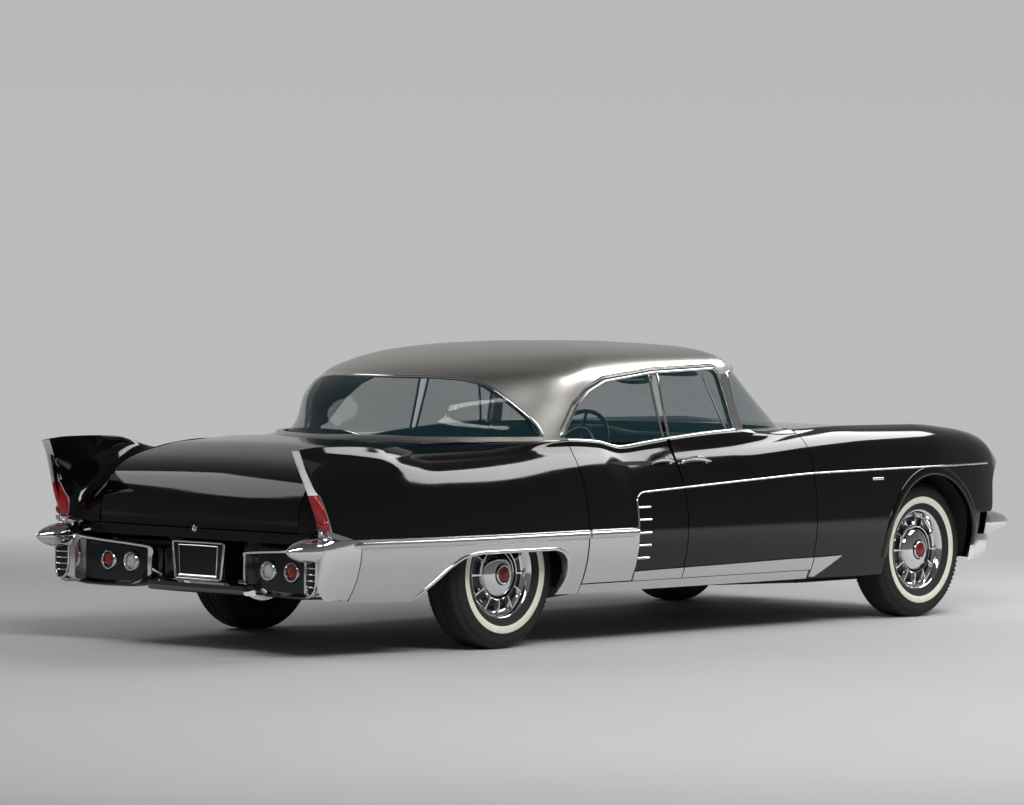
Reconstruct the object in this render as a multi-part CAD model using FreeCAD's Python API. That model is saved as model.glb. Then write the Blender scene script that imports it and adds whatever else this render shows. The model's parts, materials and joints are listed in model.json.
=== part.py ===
"""A four-door 1950s luxury hardtop saloon with tail fins, a stainless roof and rear-hinged rear doors.

Units are millimetres. X points forwards, Y to the car's left, Z up. The origin is on the ground
under the centre of the overall length. Every left-hand piece is mirrored to make the right-hand one.
"""
import FreeCAD, Part
import math
import os

from FreeCAD import Vector

# ---------------------------------------------------------------- driving dimensions
WHEELBASE = 3200.0
LENGTH = 5494.0
FRONT_AXLE_X = 1828.0
REAR_AXLE_X = FRONT_AXLE_X - WHEELBASE
TRACK = 1550.0
TYRE_RADIUS = 346.0
TYRE_WIDTH = 206.0
RIM_RADIUS = 198.0
TYRE_FACETS = 64
AXLE_Z = TYRE_RADIUS
GAP = 6.0                      # shut line between a moving panel and its neighbour
DOOR_WALL = 80.0               # door thickness, skin to trim
PANEL_WALL = 28.0              # wings and quarters, skin to inner structure
LID_WALL = 26.0                # bonnet and boot lid
GLASS_INSET = 7.0
GLASS_WALL = 6.0
ROOF_WALL = 30
PILLAR_TOP_Z = 1240.0

FRONT_SHUT_X = 830.0           # front edge of the front door
CENTRE_SHUT_X = -178.0         # between the doors
REAR_SHUT_X = -905.0           # rear edge of the rear door
DOOR_BOTTOM_Z = 288.0
SPLIT_Z = 541.0                # top of the stainless lower quarter
TAIL_X = -2500.0               # rear end of the quarter section, behind which only the fin goes on
NOSE_X = 2556.0
BONNET_REAR_X = 1262.0
BONNET_HALF = 690.0
BOOT_FRONT_X = -1790.0
BOOT_HALF = 642.0
BUMPER_JOINT_X = -2395.0
NOTCH_X = 354.0                # the front door stops here above the belt, behind the pillar's foot
NOTCH_Y = 838.0
BULKHEAD_X = 1213.0
HEEL_X = -905.0                # rear end of the cabin floor
FLOOR_Z = 262.0
PAN_WALL = 12.0                # floor pressing, with its ribs and sound deadening
PAN_EDGE_Y = 855.0
TUNNEL_HALF = 150.0
TUNNEL_TOP_Z = 400.0
AXLE_SHELF_Z = 502.0
AXLE_ARCH_Z = 396.0            # underside of the frame rails where they pass over the axle

KINGPIN_Y = 700.0
SPINDLE_RADIUS = 25.0
BEARING_PLAY = 0.05
OUT = "parts"

# Half sections of the body side, from the sill up and in.
# x, bottom y z, widest y z, shoulder y z, crown y z, inner crown y z, valley y z, seam y z
SIDE = [
    (-2500, 800, 268, 893, 520, 862, 745, 829, 951, 815, 951, 752, 640, 650, 600),
    (-2440, 815, 262, 905, 520, 868, 760, 831, 952, 815, 952, 748, 690, 648, 760),
    (-2350, 830, 258, 920, 520, 876, 775, 834, 951, 817, 951, 742, 750, 648, 835),
    (-2220, 850, 254, 938, 520, 886, 792, 838, 945, 820, 945, 735, 812, 648, 885),
    (-2050, 868, 250, 960, 520, 898, 808, 846, 903, 828, 905, 740, 880, 648, 920),
    (-1850, 885, 248, 977, 520, 905, 814, 858, 872, 840, 882, 740, 918, 648, 938),
    (-1372, 905, 245, 990, 522, 913, 818, 866, 882, 848, 897, 790, 930, 700, 946),
    (-905, 912, 240, 986, 525, 917, 824, 872, 897, 856, 925, 842, 955, 820, 957),
    (-700, 912, 240, 985, 525, 918, 816, 874, 890, 857, 915, 842, 945, 820, 947),
    (-533, 912, 240, 984, 525, 922, 784, 882, 856, 862, 886, 842, 918, 820, 920),
    (-330, 912, 240, 984, 525, 922, 788, 882, 866, 862, 902, 842, 936, 820, 938),
    (-150, 912, 240, 984, 525, 922, 802, 880, 880, 860, 917, 843, 952, 820, 954),
    (250, 912, 240, 983, 525, 922, 822, 876, 900, 857, 940, 836, 978, 815, 980),
    (500, 912, 240, 981, 525, 926, 836, 868, 918, 846, 955, 812, 985, 790, 984),
    (830, 912, 240, 978, 525, 930, 848, 840, 955, 805, 978, 740, 980, 700, 968),
    (1300, 908, 236, 972, 530, 934, 852, 805, 985, 780, 990, 725, 975, 696, 962),
    (1828, 900, 260, 965, 540, 930, 850, 800, 985, 775, 988, 722, 972, 696, 960),
    (2200, 880, 300, 938, 550, 905, 835, 785, 960, 762, 962, 715, 950, 696, 940),
    (2430, 850, 330, 900, 560, 872, 805, 765, 922, 745, 925, 710, 915, 696, 905),
    (2556, 810, 360, 850, 570, 820, 775, 735, 862, 722, 864, 705, 858, 694, 850),
]

# Plan outlines of the glasshouse, bottom to top.
# z, rear centre x, rear corner x y, rear side x y, side middle y, front side x y, front corner x y, front centre x
GLASSHOUSE = [
    (930, -1722, -1607, 400, -950, 806, 849, 432, 828, 1128, 400, 1200),
    (1100, -1515, -1405, 400, -800, 776, 800, 418, 782, 905, 460, 995),
    (1250, -1328, -1225, 400, -660, 742, 758, 405, 740, 672, 520, 775),
    (1310, -1175, -1080, 370, -600, 700, 728, 398, 712, 625, 490, 720),
    (1355, -965, -890, 320, -520, 628, 658, 370, 640, 570, 420, 645),
    (1388, -700, -645, 230, -420, 470, 500, 290, 480, 470, 300, 520),
    (1409, -400, -380, 80, -330, 150, 160, 120, 150, 215, 90, 235),
]

# Side windows, seen from the side: x z from the front sill, up and round to the rear sill.
WINDOW = [
    (366, 900), (366, 985), (347, 1130), (322, 1262), (296, 1284), (-194, 1268),
    (-540, 1230), (-669, 1182), (-763, 1116), (-878, 990), (-912, 978), (-912, 900),
]
# Rear window edge, seen from the side.
BACKLIGHT = [
    (-1010, 972), (-1030, 1030), (-1080, 1095), (-1140, 1177), (-1165, 1215),
    (-1215, 1238), (-1330, 1246), (-1900, 1246), (-1900, 972),
]
# Windscreen edge, seen from the side.
WINDSCREEN = [(428, 985), (403, 1130), (398, 1268), (600, 1290), (1300, 1290), (1300, 985)]
# Half width of the gap between the doors, growing inwards so that either door swings past the other.
DOOR_BEVEL = [(1000, 3), (970, 3), (905, 7), (860, 12), (820, 17), (780, 23), (740, 29), (660, 45)]

# ---------------------------------------------------------------- helpers
def slopes(xs, ys):
    """Monotone cubic slopes through the points."""
    n = len(xs)
    step = [(ys[i + 1] - ys[i]) / (xs[i + 1] - xs[i]) for i in range(n - 1)]
    out = [step[0]]
    for i in range(1, n - 1):
        a, b = step[i - 1], step[i]
        if a * b <= 0:
            out.append(0.0)
        else:
            ha, hb = xs[i] - xs[i - 1], xs[i + 1] - xs[i]
            wa, wb = 2 * hb + ha, hb + 2 * ha
            out.append((wa + wb) / (wa / a + wb / b))
    return out + [step[-1]]


def interpolate(table, x):
    """The table's row at x, each column by a monotone cubic."""
    xs = [float(row[0]) for row in table]
    i = max(0, min(len(xs) - 2, sum(1 for v in xs if v <= x) - 1))
    h = xs[i + 1] - xs[i]
    t = (x - xs[i]) / h
    row = []
    for column in range(1, len(table[0])):
        ys = [float(r[column]) for r in table]
        m = slopes(xs, ys)
        a, b = ys[i], ys[i + 1]
        row.append(
            a * (1 + 2 * t) * (1 - t) ** 2 + m[i] * h * t * (1 - t) ** 2
            + b * t * t * (3 - 2 * t) + m[i + 1] * h * t * t * (t - 1)
        )
    return row


def arc_on(p, tangent, q):
    """Middle point and end tangent of the arc that leaves p along tangent and ends at q, in 2-D."""
    cx, cy = q[0] - p[0], q[1] - p[1]
    length = math.hypot(cx, cy)
    ux, uy = cx / length, cy / length
    along = tangent[0] * ux + tangent[1] * uy
    across = ux * tangent[1] - uy * tangent[0]
    rise = length / 2 * across / (1 + along)
    middle = (p[0] + cx / 2 - uy * rise, p[1] + cy / 2 + ux * rise)
    return middle, (2 * along * ux - tangent[0], 2 * along * uy - tangent[1])


def polygon(points):
    """A closed flat wire through 3-D points."""
    return Part.makePolygon(points + [points[0]])


def prism(outline, y0, y1):
    """A side-view outline of x z points, extruded from y0 to y1."""
    face = Part.Face(polygon([Vector(x, y0, z) for x, z in outline]))
    return face.extrude(Vector(0, y1 - y0, 0))


def box(x0, x1, y0, y1, z0, z1):
    """A box between its six limits."""
    return Part.makeBox(x1 - x0, y1 - y0, z1 - z0, Vector(x0, y0, z0))


def mirrored(shape):
    """The right-hand copy of a left-hand shape."""
    return shape.mirror(Vector(0, 0, 0), Vector(0, 1, 0))


def both(shape):
    """A left-hand shape and its mirror image, in one compound."""
    return Part.makeCompound([shape, mirrored(shape)])


def rod(a, b, radius):
    """A round bar from a to b."""
    a, b = Vector(*a), Vector(*b)
    return Part.makeCylinder(radius, (b - a).Length, a, b - a)


def fuse(shapes):
    """One shape from several."""
    return shapes[0].multiFuse(shapes[1:]) if len(shapes) > 1 else shapes[0]


def save(name, shape):
    """Writes a node, after checking that it holds sound solids."""
    solids = shape.Solids
    if not solids or not shape.isValid():
        print("PROBLEM", name, len(solids), shape.isValid())
    for solid in solids:
        if solid.Volume <= 0:
            print("PROBLEM volume", name, solid.Volume)
    part = solids[0] if len(solids) == 1 else Part.makeCompound(solids)
    part.exportStep(os.path.join(OUT, name + ".step"))


# ---------------------------------------------------------------- body side
def side_section(x, wall, thick_top):
    """Closed section of the left body side at x; thick_top carries the wall up to the belt, as in a door."""
    yb, zb, ym, zm, ys, zs, yt, zt, yi, zi, yv, zv, yd, zd = interpolate(SIDE, x)
    low, _ = arc_on((ym, zm), (0, -1), (yb, zb))
    side, tangent = arc_on((ym, zm), (0, 1), (ys, zs))
    shoulder, _ = arc_on((ys, zs), tangent, (yt, zt))
    inner, _ = arc_on((yi, zi), (0, -1), (yv, zv))

    def at(p):
        return Vector(x, p[0], p[1])

    edges = [
        Part.Arc(at((yb, zb)), at(low), at((ym, zm))).toShape(),
        Part.Arc(at((ym, zm)), at(side), at((ys, zs))).toShape(),
        Part.Arc(at((ys, zs)), at(shoulder), at((yt, zt))).toShape(),
        Part.makeLine(at((yt, zt)), at((yi, zi))),
    ]
    if thick_top:
        back = [(yi, zi), (yv, zv), (yv - 42, zv), (ys - wall, zs)]
        back += [(ym - wall, zm), (yb - wall + 20, zb), (yb, zb)]
    else:
        if zi - zv > 40:
            edges.append(Part.Arc(at((yi, zi)), at(inner), at((yv, zv))).toShape())
        else:
            edges.append(Part.makeLine(at((yi, zi)), at((yv, zv))))
        root = min(zs, zv - wall) - 20
        back = [(yv, zv), (yd, zd), (yd, zd - wall), (yv + 4, zv - wall - 8)]
        back += [(ys - wall - 10, root), (ym - wall, zm), (yb - wall, zb), (yb, zb)]
    edges += [Part.makeLine(at(back[i]), at(back[i + 1])) for i in range(len(back) - 1)]
    return Part.Wire(edges)


def side_slab(stations, wall, thick_top):
    """The left body side lofted through sections at the stations."""
    return Part.makeLoft([side_section(x, wall, thick_top) for x in stations], True, False)


def fin_blade():
    """The fin behind the quarter section, down to the lamp, ending in its raked trailing edge."""
    # x, foot outer y, waist outer y, tip outer y, tip z, thickness at the foot, thickness at the tip
    rows = [
        (-2500, 880, 862, 829, 951, 92, 14),
        (-2600, 858, 846, 826, 950, 66, 14),
        (-2720, 842, 838, 823, 937, 46, 14),
    ]
    wires = []
    for x, foot, waist, tip, top, deep, thin in rows:
        points = [(foot, 575), (waist, 745), (tip, top)]
        points += [(tip - thin, top), (waist - thin - 22, 745), (foot - deep, 575)]
        wires.append(polygon([Vector(x, y, z) for y, z in points]))
    blade = Part.makeLoft(wires, True, True)
    trailing = [
        (-2708, 937), (-2578, 744), (-2540, 640), (-2531, 575),
        (-2900, 500), (-2900, 1000), (-2712, 1000),
    ]
    return blade.cut(prism(trailing, 700, 950))


def rear_arch():
    """The low, raked opening over the rear wheel, as a cutter."""
    outline = [
        (-2025, 200), (-1985, 262), (-1915, 330), (-1830, 402), (-1735, 446), (-1620, 458),
        (-1150, 458), (-1080, 440), (-1030, 390), (-1020, 320), (-1024, 200),
    ]
    return prism(outline, 600, 1100)


def front_arch():
    """The round opening over the front wheel, as a cutter."""
    return Part.makeCylinder(392, 500, Vector(FRONT_AXLE_X, 640, AXLE_Z + 6), Vector(0, 1, 0))


def nose_recess():
    """What the brow overhangs at the front, as a cutter."""
    outline = [
        (2527, 776), (2474, 748), (2430, 710), (2410, 648), (2405, 560),
        (2405, 417), (2262, 417), (2262, 200), (2700, 200), (2700, 776),
    ]
    return prism(outline, 500, 1000)


def wings():
    """Front wings."""
    stations = [FRONT_SHUT_X + GAP / 2, 1060, 1300, 1560, FRONT_AXLE_X, 2050, 2200, 2330, 2430, 2500, NOSE_X]
    slab = side_slab(stations, PANEL_WALL, False)
    return slab.cut(front_arch()).cut(nose_recess())


def quarters():
    """Painted rear quarters with their fins, and the stainless panels below them."""
    stations = [REAR_SHUT_X - GAP / 2, -1130, -1372, -1600, -1850, -2050, -2220, -2350, -2440, TAIL_X]
    slab = side_slab(stations, PANEL_WALL, False)
    upper = slab.common(box(-2600, 0, 500, 1100, SPLIT_Z, 1100)).fuse(fin_blade())
    lower = slab.common(box(BUMPER_JOINT_X + 2, 0, 500, 1100, 100, SPLIT_Z - 0.5)).cut(rear_arch())
    return upper, lower


def bevel(direction):
    """Everything past the free edge of the door on one side of the centre gap, as a cutter."""
    points = [Vector(CENTRE_SHUT_X + direction * w, y, 200) for y, w in DOOR_BEVEL]
    points += [Vector(CENTRE_SHUT_X - direction * 60, y, 200) for y in (660, 1000)]
    return Part.Face(polygon(points)).extrude(Vector(0, 0, 1200))


def doors():
    """Front and rear door slabs; the front one is notched round the foot of the windscreen pillar."""
    front = side_slab([CENTRE_SHUT_X + GAP / 2, 30, 250, 500, 660, FRONT_SHUT_X - GAP / 2], DOOR_WALL, True)
    stations = [REAR_SHUT_X + GAP / 2, -800, -700, -615, -533, -430, -330, CENTRE_SHUT_X - GAP / 2]
    rear = side_slab(stations, DOOR_WALL, True)
    above = box(-1000, 1000, 600, 1100, DOOR_BOTTOM_Z, 1100)
    notch = box(NOTCH_X, 1000, 500, NOTCH_Y, 870, 1100)
    corner = front.common(box(NOTCH_X + GAP, 1000, 500, NOTCH_Y - GAP, 876, 1100))
    front = front.common(above).cut(bevel(1)).cut(notch)
    rear = rear.common(above).cut(bevel(-1))
    return front, rear, corner


def sill():
    """Rocker panel under the doors."""
    stations = [REAR_SHUT_X + GAP / 2, -533, CENTRE_SHUT_X, 330, FRONT_SHUT_X - GAP / 2]
    slab = side_slab(stations, DOOR_WALL, True)
    below = box(-1000, 1000, 600, 1100, 200, DOOR_BOTTOM_Z - GAP)
    return slab.common(below)


# ---------------------------------------------------------------- bonnet, boot and decks
def profile(y, top, wall, lip):
    """Closed side-view wire at y: a chain of arcs through top, then back underneath it."""
    edges = []
    for i in range(0, len(top) - 2, 2):
        a, b, c = (Vector(x, y, z) for x, z in top[i:i + 3])
        edges.append(Part.Arc(a, b, c).toShape())
    under = [top[-1], lip[0], lip[1]] + [(x, z - wall) for x, z in reversed(top[0:-2:2])] + [top[0]]
    for (ax, az), (bx, bz) in zip(under[:-1], under[1:]):
        edges.append(Part.makeLine(Vector(ax, y, az), Vector(bx, y, bz)))
    return Part.Wire(edges)


def bonnet():
    """Bonnet, lofted across the car from side-view profiles."""
    wires = []
    for y in (-BONNET_HALF, -345.0, 0.0, 345.0, BONNET_HALF):
        share = 1 - (y / BONNET_HALF) ** 2
        rise, reach = 14 * share, 14 * share
        top = [
            (BONNET_REAR_X, 966 + rise), (1300, 964 + rise), (1828, 960 + rise), (2050, 950 + rise),
            (2300, 926 + rise), (2470 + reach / 2, 888 + rise), (NOSE_X + reach, 830),
        ]
        lip = [(NOSE_X + reach - 14, 800), (NOSE_X + reach - 50, 800)]
        wires.append(profile(y, top, LID_WALL, lip))
    return Part.makeLoft(wires, True, False)


def boot_lid():
    """Boot lid, lofted across the car, rolling down over the tail."""
    wires = []
    for y in (-BOOT_HALF, -320.0, 0.0, 320.0, BOOT_HALF):
        share = 1 - (y / BOOT_HALF) ** 2
        rise, reach = 14 * share, 12 * share
        top = [
            (BOOT_FRONT_X, 940 + rise), (-2000, 925 + rise), (-2200, 889 + rise), (-2375, 830 + rise * 0.9),
            (-2468 - reach, 725 + rise * 0.5), (-2494 - reach, 645), (-2500 - reach, 563),
        ]
        lip = [(-2480 - reach, 563), (-2462 - reach, 590)]
        wires.append(profile(y, top, LID_WALL, lip))
    return Part.makeLoft(wires, True, False)


def deck_panel():
    """Panel between the rear window and the boot lid, with the parcel shelf in front of it."""
    wires = []
    for y in (-640.0, -320.0, 0.0, 320.0, 640.0):
        rise = 14 * (1 - (y / 640.0) ** 2)
        front = -1240 - rise * 2
        top = [(front, 946 + rise), (-1500, 950 + rise), (BOOT_FRONT_X + GAP, 942 + rise)]
        lip = [(BOOT_FRONT_X + GAP, 920), (BOOT_FRONT_X + GAP + 30, 915)]
        wires.append(profile(y, top, 24, lip))
    return Part.makeLoft(wires, True, False)


# ---------------------------------------------------------------- glasshouse
def outline_at(row, inset, drop):
    """Closed plan wire of one glasshouse level."""
    z, rc, rcx, rcy, rsx, rsy, my, fsx, fsy, fcx, fcy, fc = row
    z -= drop
    rc, rcx, rsx = rc + inset, rcx + inset, rsx
    fc, fcx = fc - inset, fcx - inset
    rsy, my, fsy = rsy - inset, my - inset, fsy - inset
    rcy, fcy = rcy - inset * 0.3, fcy - inset * 0.3

    def at(p):
        return Vector(p[0], p[1], z)

    rear_end, rear_tangent = arc_on((rc, 0), (0, 1), (rcx, rcy))
    rear_side, _ = arc_on((rcx, rcy), rear_tangent, (rsx, rsy))
    front_end, front_tangent = arc_on((fc, 0), (0, 1), (fcx, fcy))
    front_side, _ = arc_on((fcx, fcy), front_tangent, (fsx, fsy))
    half = [
        ((rc, 0), rear_end, (rcx, rcy)), ((rcx, rcy), rear_side, (rsx, rsy)),
        ((rsx, rsy), ((rsx + fsx) / 2, my), (fsx, fsy)),
        ((fsx, fsy), front_side, (fcx, fcy)), ((fcx, fcy), front_end, (fc, 0)),
    ]
    edges = [Part.Arc(at(a), at(b), at(c)).toShape() for a, b, c in half]
    for a, b, c in reversed(half):
        flip = [Vector(p[0], -p[1], z) for p in (c, b, a)]
        edges.append(Part.Arc(*flip).toShape())
    return Part.Wire(edges)


def glasshouse(inset):
    """Solid of the glasshouse, each level taken in by inset and the roof lowered by it."""
    wires = []
    for row in GLASSHOUSE:
        drop = inset * max(0.0, min(1.0, (row[0] - 1250) / 60))
        wires.append(outline_at(row, inset, drop))
    return Part.makeLoft(wires, True, False)


def roof(keep_clear):
    """Roof shell down to the belt, with its windows cut and the neighbours' space left free."""
    shell = glasshouse(0).cut(glasshouse(ROOF_WALL)).common(box(-3000, 3000, -1200, 1200, 940, 1500))
    for outline in (WINDOW, BACKLIGHT, WINDSCREEN):
        shell = shell.cut(prism(outline, -1200, 1200))
    return max(shell.cut(keep_clear).Solids, key=lambda solid: solid.Volume)


def pillars(shell):
    """The part of the roof shell below the window heads: the pillars and the strip that joins them."""
    return shell.common(box(-3000, 3000, -1200, 1200, 900, PILLAR_TOP_Z))


def pane(form, outline, y0, y1, inward):
    """The part of the glass form inside a side-view outline, made a sheet by a copy moved inward."""
    hollow = form.copy()
    hollow.translate(Vector(*inward))
    return form.common(prism(outline, y0, y1)).cut(hollow)


def glazing(door_front, door_rear, keep_clear):
    """Windscreen, rear window, and the left-hand front and rear side windows."""
    form = glasshouse(GLASS_INSET)
    screen = pane(form, WINDSCREEN, -1200, 1200, (-GLASS_WALL, 0, -5)).cut(keep_clear)
    back = pane(form, BACKLIGHT, -1200, 1200, (GLASS_WALL, 0, -5)).cut(keep_clear)
    left = pane(form, WINDOW, 400, 1200, (0, -GLASS_WALL, -2)).common(box(-1000, 1000, 400, 1200, 940, 1400))
    left = left.cut(box(NOTCH_X, 1000, 400, 1200, 900, 1000))
    ahead = box(CENTRE_SHUT_X, 1000, 400, 1200, 900, 1400)
    behind = box(-1000, CENTRE_SHUT_X, 400, 1200, 900, 1400)
    front = left.common(ahead).cut(bevel(1)).cut(door_front)
    rear = left.common(behind).cut(bevel(-1)).cut(door_rear)
    return screen, back, front, rear


# ---------------------------------------------------------------- cowl, floor and chassis
def cowl(corner):
    """Panel round the foot of the windscreen and its corners beside the doors."""
    wires = []
    for y in (-688.0, -344.0, 0.0, 344.0, 688.0):
        rise = 14 * (1 - (y / 688.0) ** 2)
        top = [(FRONT_SHUT_X - 60, 978 + rise * 0.6), (1010, 974 + rise), (BONNET_REAR_X - GAP, 966 + rise)]
        lip = [(BONNET_REAR_X - GAP, 930), (BONNET_REAR_X - 60, 930)]
        wires.append(profile(y, top, 24, lip))
    panel = Part.makeLoft(wires, True, False)
    well = Part.Face(outline_at(GLASSHOUSE[0], 30, 0)).extrude(Vector(0, 0, 200))
    corners = both(corner)
    return fuse([panel] + corners.Solids).cut(well)


def bulkhead(panel):
    """Wall between the engine bay and the cabin, up to the cowl, with a passage for the gearbox."""
    wall = box(BULKHEAD_X, BULKHEAD_X + 14, -640, 640, FLOOR_Z, 945)
    passage = box(BULKHEAD_X - 1, BULKHEAD_X + 15, -138, 138, FLOOR_Z - 1, 388)
    return wall.cut(passage).cut(panel)


def floor():
    """Cabin floor pans, either side of the tunnel."""
    return both(box(HEEL_X, BULKHEAD_X, TUNNEL_HALF, PAN_EDGE_Y, FLOOR_Z, FLOOR_Z + PAN_WALL))


def tunnel():
    """Transmission tunnel between the pans, low enough to pass under the front seat."""
    outer = box(HEEL_X, BULKHEAD_X, -TUNNEL_HALF, TUNNEL_HALF, FLOOR_Z, TUNNEL_TOP_Z)
    half = TUNNEL_HALF - PAN_WALL
    inner = box(HEEL_X - 1, BULKHEAD_X + 1, -half, half, FLOOR_Z - 1, TUNNEL_TOP_Z - PAN_WALL)
    return outer.cut(inner)


def boot_floor():
    """Heel board, seat shelf, seat-back bulkhead, shelf over the axle and the boot floor."""
    return fuse([
        box(HEEL_X - PAN_WALL, HEEL_X, -790, 790, FLOOR_Z, 470),
        box(-1170, HEEL_X - PAN_WALL, -640, 640, 458, 470),
        box(-1182, -1170, -640, 640, 458, 900),
        box(-1580, -1182, -640, 640, AXLE_SHELF_Z - PAN_WALL, AXLE_SHELF_Z),
        box(-1592, -1580, -640, 640, 390, AXLE_SHELF_Z),
        box(BUMPER_JOINT_X, -1592, -640, 640, 390, 402),
    ])


def wheel_housings():
    """Inner housings over the rear wheels, carried back along the edges of the boot floor."""
    housing = fuse([
        box(-1760, -980, 640, 652, 330, 760),
        box(-1760, -980, 652, 850, 748, 760),
        box(BUMPER_JOINT_X, -1760, 640, 652, 330, 560),
    ])
    passage = box(REAR_AXLE_X - 60, REAR_AXLE_X + 60, 600, 700, 300, AXLE_Z + 60)
    return both(housing.cut(passage))


def beam(points, half, z0, z1):
    """A flat plan-view bar along a polyline, between two heights."""
    parts = []
    for (ax, ay), (bx, by) in zip(points[:-1], points[1:]):
        length = math.hypot(bx - ax, by - ay)
        ux = (bx - ax) / length * half
        uy = (by - ay) / length * half
        corners = [(ax - ux - uy, ay - uy + ux), (bx + ux - uy, by + uy + ux)]
        corners += [(bx + ux + uy, by + uy - ux), (ax - ux + uy, ay - uy - ux)]
        face = Part.Face(polygon([Vector(x, y, z0) for x, y in corners]))
        parts.append(face.extrude(Vector(0, 0, z1 - z0)))
    return parts


def chassis():
    """Tubular-centre cross frame, arched over the rear axle, with the front cross-member and its arms."""
    rail = [(2330, 430), (1350, 430), (600, 190), (-100, 190), (-970, 520), (-2373, 520)]
    left = beam(rail[:4], 45, 175, 250) + beam(rail[3:5], 45, 175, 250)
    for start, end in ((-970, -1200), (-1544, -2373)):
        left += beam([(start, 520), (end, 520)], 40, 290, 380)
    left += [box(x, x + 40, 480, 560, 290, 450) for x in (-1260, -1524)]
    left.append(box(-1524, -1220, 480, 560, AXLE_ARCH_Z, 450))
    left += [box(-1010, -925, 475, 565, 175, 380)]
    left.append(beam([(-100, 190), (-100, -190)], 60, 175, 250)[0])
    for x, y in ((600, 190), (-100, 190), (-840, 470)):
        left.append(Part.makeCylinder(30, FLOOR_Z - 250, Vector(x, y, 250)))
    for x in (-1700, -2300):
        left.append(Part.makeCylinder(30, 10, Vector(x, 520, 380)))
    left.append(box(FRONT_AXLE_X - 90, FRONT_AXLE_X + 90, 0, 475, 190, 260))
    left.append(box(FRONT_AXLE_X - 90, FRONT_AXLE_X + 90, 395, 475, 250, 475))
    pin = Part.makeCylinder(14 + BEARING_PLAY, 400, Vector(FRONT_AXLE_X, KINGPIN_Y, 150))
    for z0, z1 in ((222, 246), (446, 470)):
        arm = box(FRONT_AXLE_X - 34, FRONT_AXLE_X + 34, 400, KINGPIN_Y + 4, z0, z1)
        eye = Part.makeCylinder(34, z1 - z0, Vector(FRONT_AXLE_X, KINGPIN_Y, z0))
        left.append(arm.fuse(eye).cut(pin))
    left = fuse(left)
    return left.fuse(mirrored(left))


def knuckle():
    """Steering knuckle: kingpin, upright and spindle."""
    return fuse([
        Part.makeCylinder(14, 250, Vector(FRONT_AXLE_X, KINGPIN_Y, 221)),
        Part.makeCylinder(32, 180, Vector(FRONT_AXLE_X, KINGPIN_Y, 256)),
        Part.makeCylinder(SPINDLE_RADIUS, 80, Vector(FRONT_AXLE_X, KINGPIN_Y, AXLE_Z), Vector(0, 1, 0)),
    ])


def rear_axle():
    """Live axle with its differential, spindles and the pads that carry the frame."""
    tube = rod((REAR_AXLE_X, -712, AXLE_Z), (REAR_AXLE_X, 712, AXLE_Z), 38)
    spindle = rod((REAR_AXLE_X, -780, AXLE_Z), (REAR_AXLE_X, 780, AXLE_Z), SPINDLE_RADIUS)
    case = Part.makeSphere(135, Vector(REAR_AXLE_X, 0, AXLE_Z))
    case = case.common(box(REAR_AXLE_X - 135, REAR_AXLE_X + 135, -110, 110, 0, 470))
    nose = rod((REAR_AXLE_X, 0, AXLE_Z), (REAR_AXLE_X + 230, 0, AXLE_Z - 25), 55)
    pads = [Part.makeCylinder(34, AXLE_ARCH_Z - AXLE_Z, Vector(REAR_AXLE_X, y, AXLE_Z)) for y in (-520, 520)]
    return fuse([tube, spindle, case, nose] + pads)


# ---------------------------------------------------------------- wheels
def revolve(x, outline):
    """A closed outline of y radius points, turned about the wheel's axis at x."""
    face = Part.Face(polygon([Vector(x, y, AXLE_Z + r) for y, r in outline]))
    return face.revolve(Vector(x, 0, AXLE_Z), Vector(0, 1, 0), 360)


def tyre(x):
    """Crossply tyre, on the left, in flat facets with one of them on the ground."""
    centre, half = TRACK / 2, TYRE_WIDTH / 2
    side = [(60, RIM_RADIUS + 1.5), (86, 214), (half, 270), (half - 6, 312), (72, TYRE_RADIUS)]
    outline = [(centre + y, r) for y, r in side] + [(centre - y, r) for y, r in reversed(side)]
    rings = []
    for i in range(TYRE_FACETS):
        angle = 2 * math.pi * (i + 0.5) / TYRE_FACETS
        grow = 1 / math.cos(math.pi / TYRE_FACETS)
        across, up = grow * math.sin(angle), grow * math.cos(angle)
        rings.append([Vector(x + r * across, y, AXLE_Z - r * up) for y, r in outline])
    faces = []
    for i, ring in enumerate(rings):
        after = rings[(i + 1) % TYRE_FACETS]
        for k in range(len(outline)):
            m = (k + 1) % len(outline)
            faces.append(Part.Face(polygon([ring[k], ring[m], after[m], after[k]])))
    shell = Part.Shell(faces)
    shell.sewShape()
    solid = Part.Solid(shell)
    if solid.Volume < 0:
        solid.reverse()
    return solid


def wheel(x):
    """Pressed wheel with radial fins round a domed cap, on the left."""
    c = TRACK / 2
    barrel = [
        (c - 80, 182), (c - 80, 206), (c - 72, 206), (c - 66, RIM_RADIUS),
        (c + 66, RIM_RADIUS), (c + 72, 206), (c + 80, 206), (c + 80, 182),
    ]
    disc = [(c + 20, 184), (c + 46, 184), (c + 52, 120), (c + 74, 84), (c + 40, 84), (c + 22, 110)]
    bore = SPINDLE_RADIUS + BEARING_PLAY
    hub = [
        (c - 36, bore), (c - 36, 70), (c + 30, 70), (c + 30, 92), (c + 76, 92),
        (c + 92, 60), (c + 100, 0), (c + 16, 0), (c + 16, bore),
    ]
    body = fuse([revolve(x, barrel), revolve(x, disc), revolve(x, hub)])
    corners = [(x - 22, 172), (x + 22, 172), (x + 10, 104), (x - 10, 104)]
    pocket = Part.Face(polygon([Vector(cx, c - 100, AXLE_Z + cz) for cx, cz in corners]))
    pocket = pocket.extrude(Vector(0, 300, 0))
    cutters = []
    for i in range(12):
        turned = pocket.copy()
        turned.rotate(Vector(x, 0, AXLE_Z), Vector(0, 1, 0), 30 * i)
        cutters.append(turned)
    return body.cut(Part.makeCompound(cutters))


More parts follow.
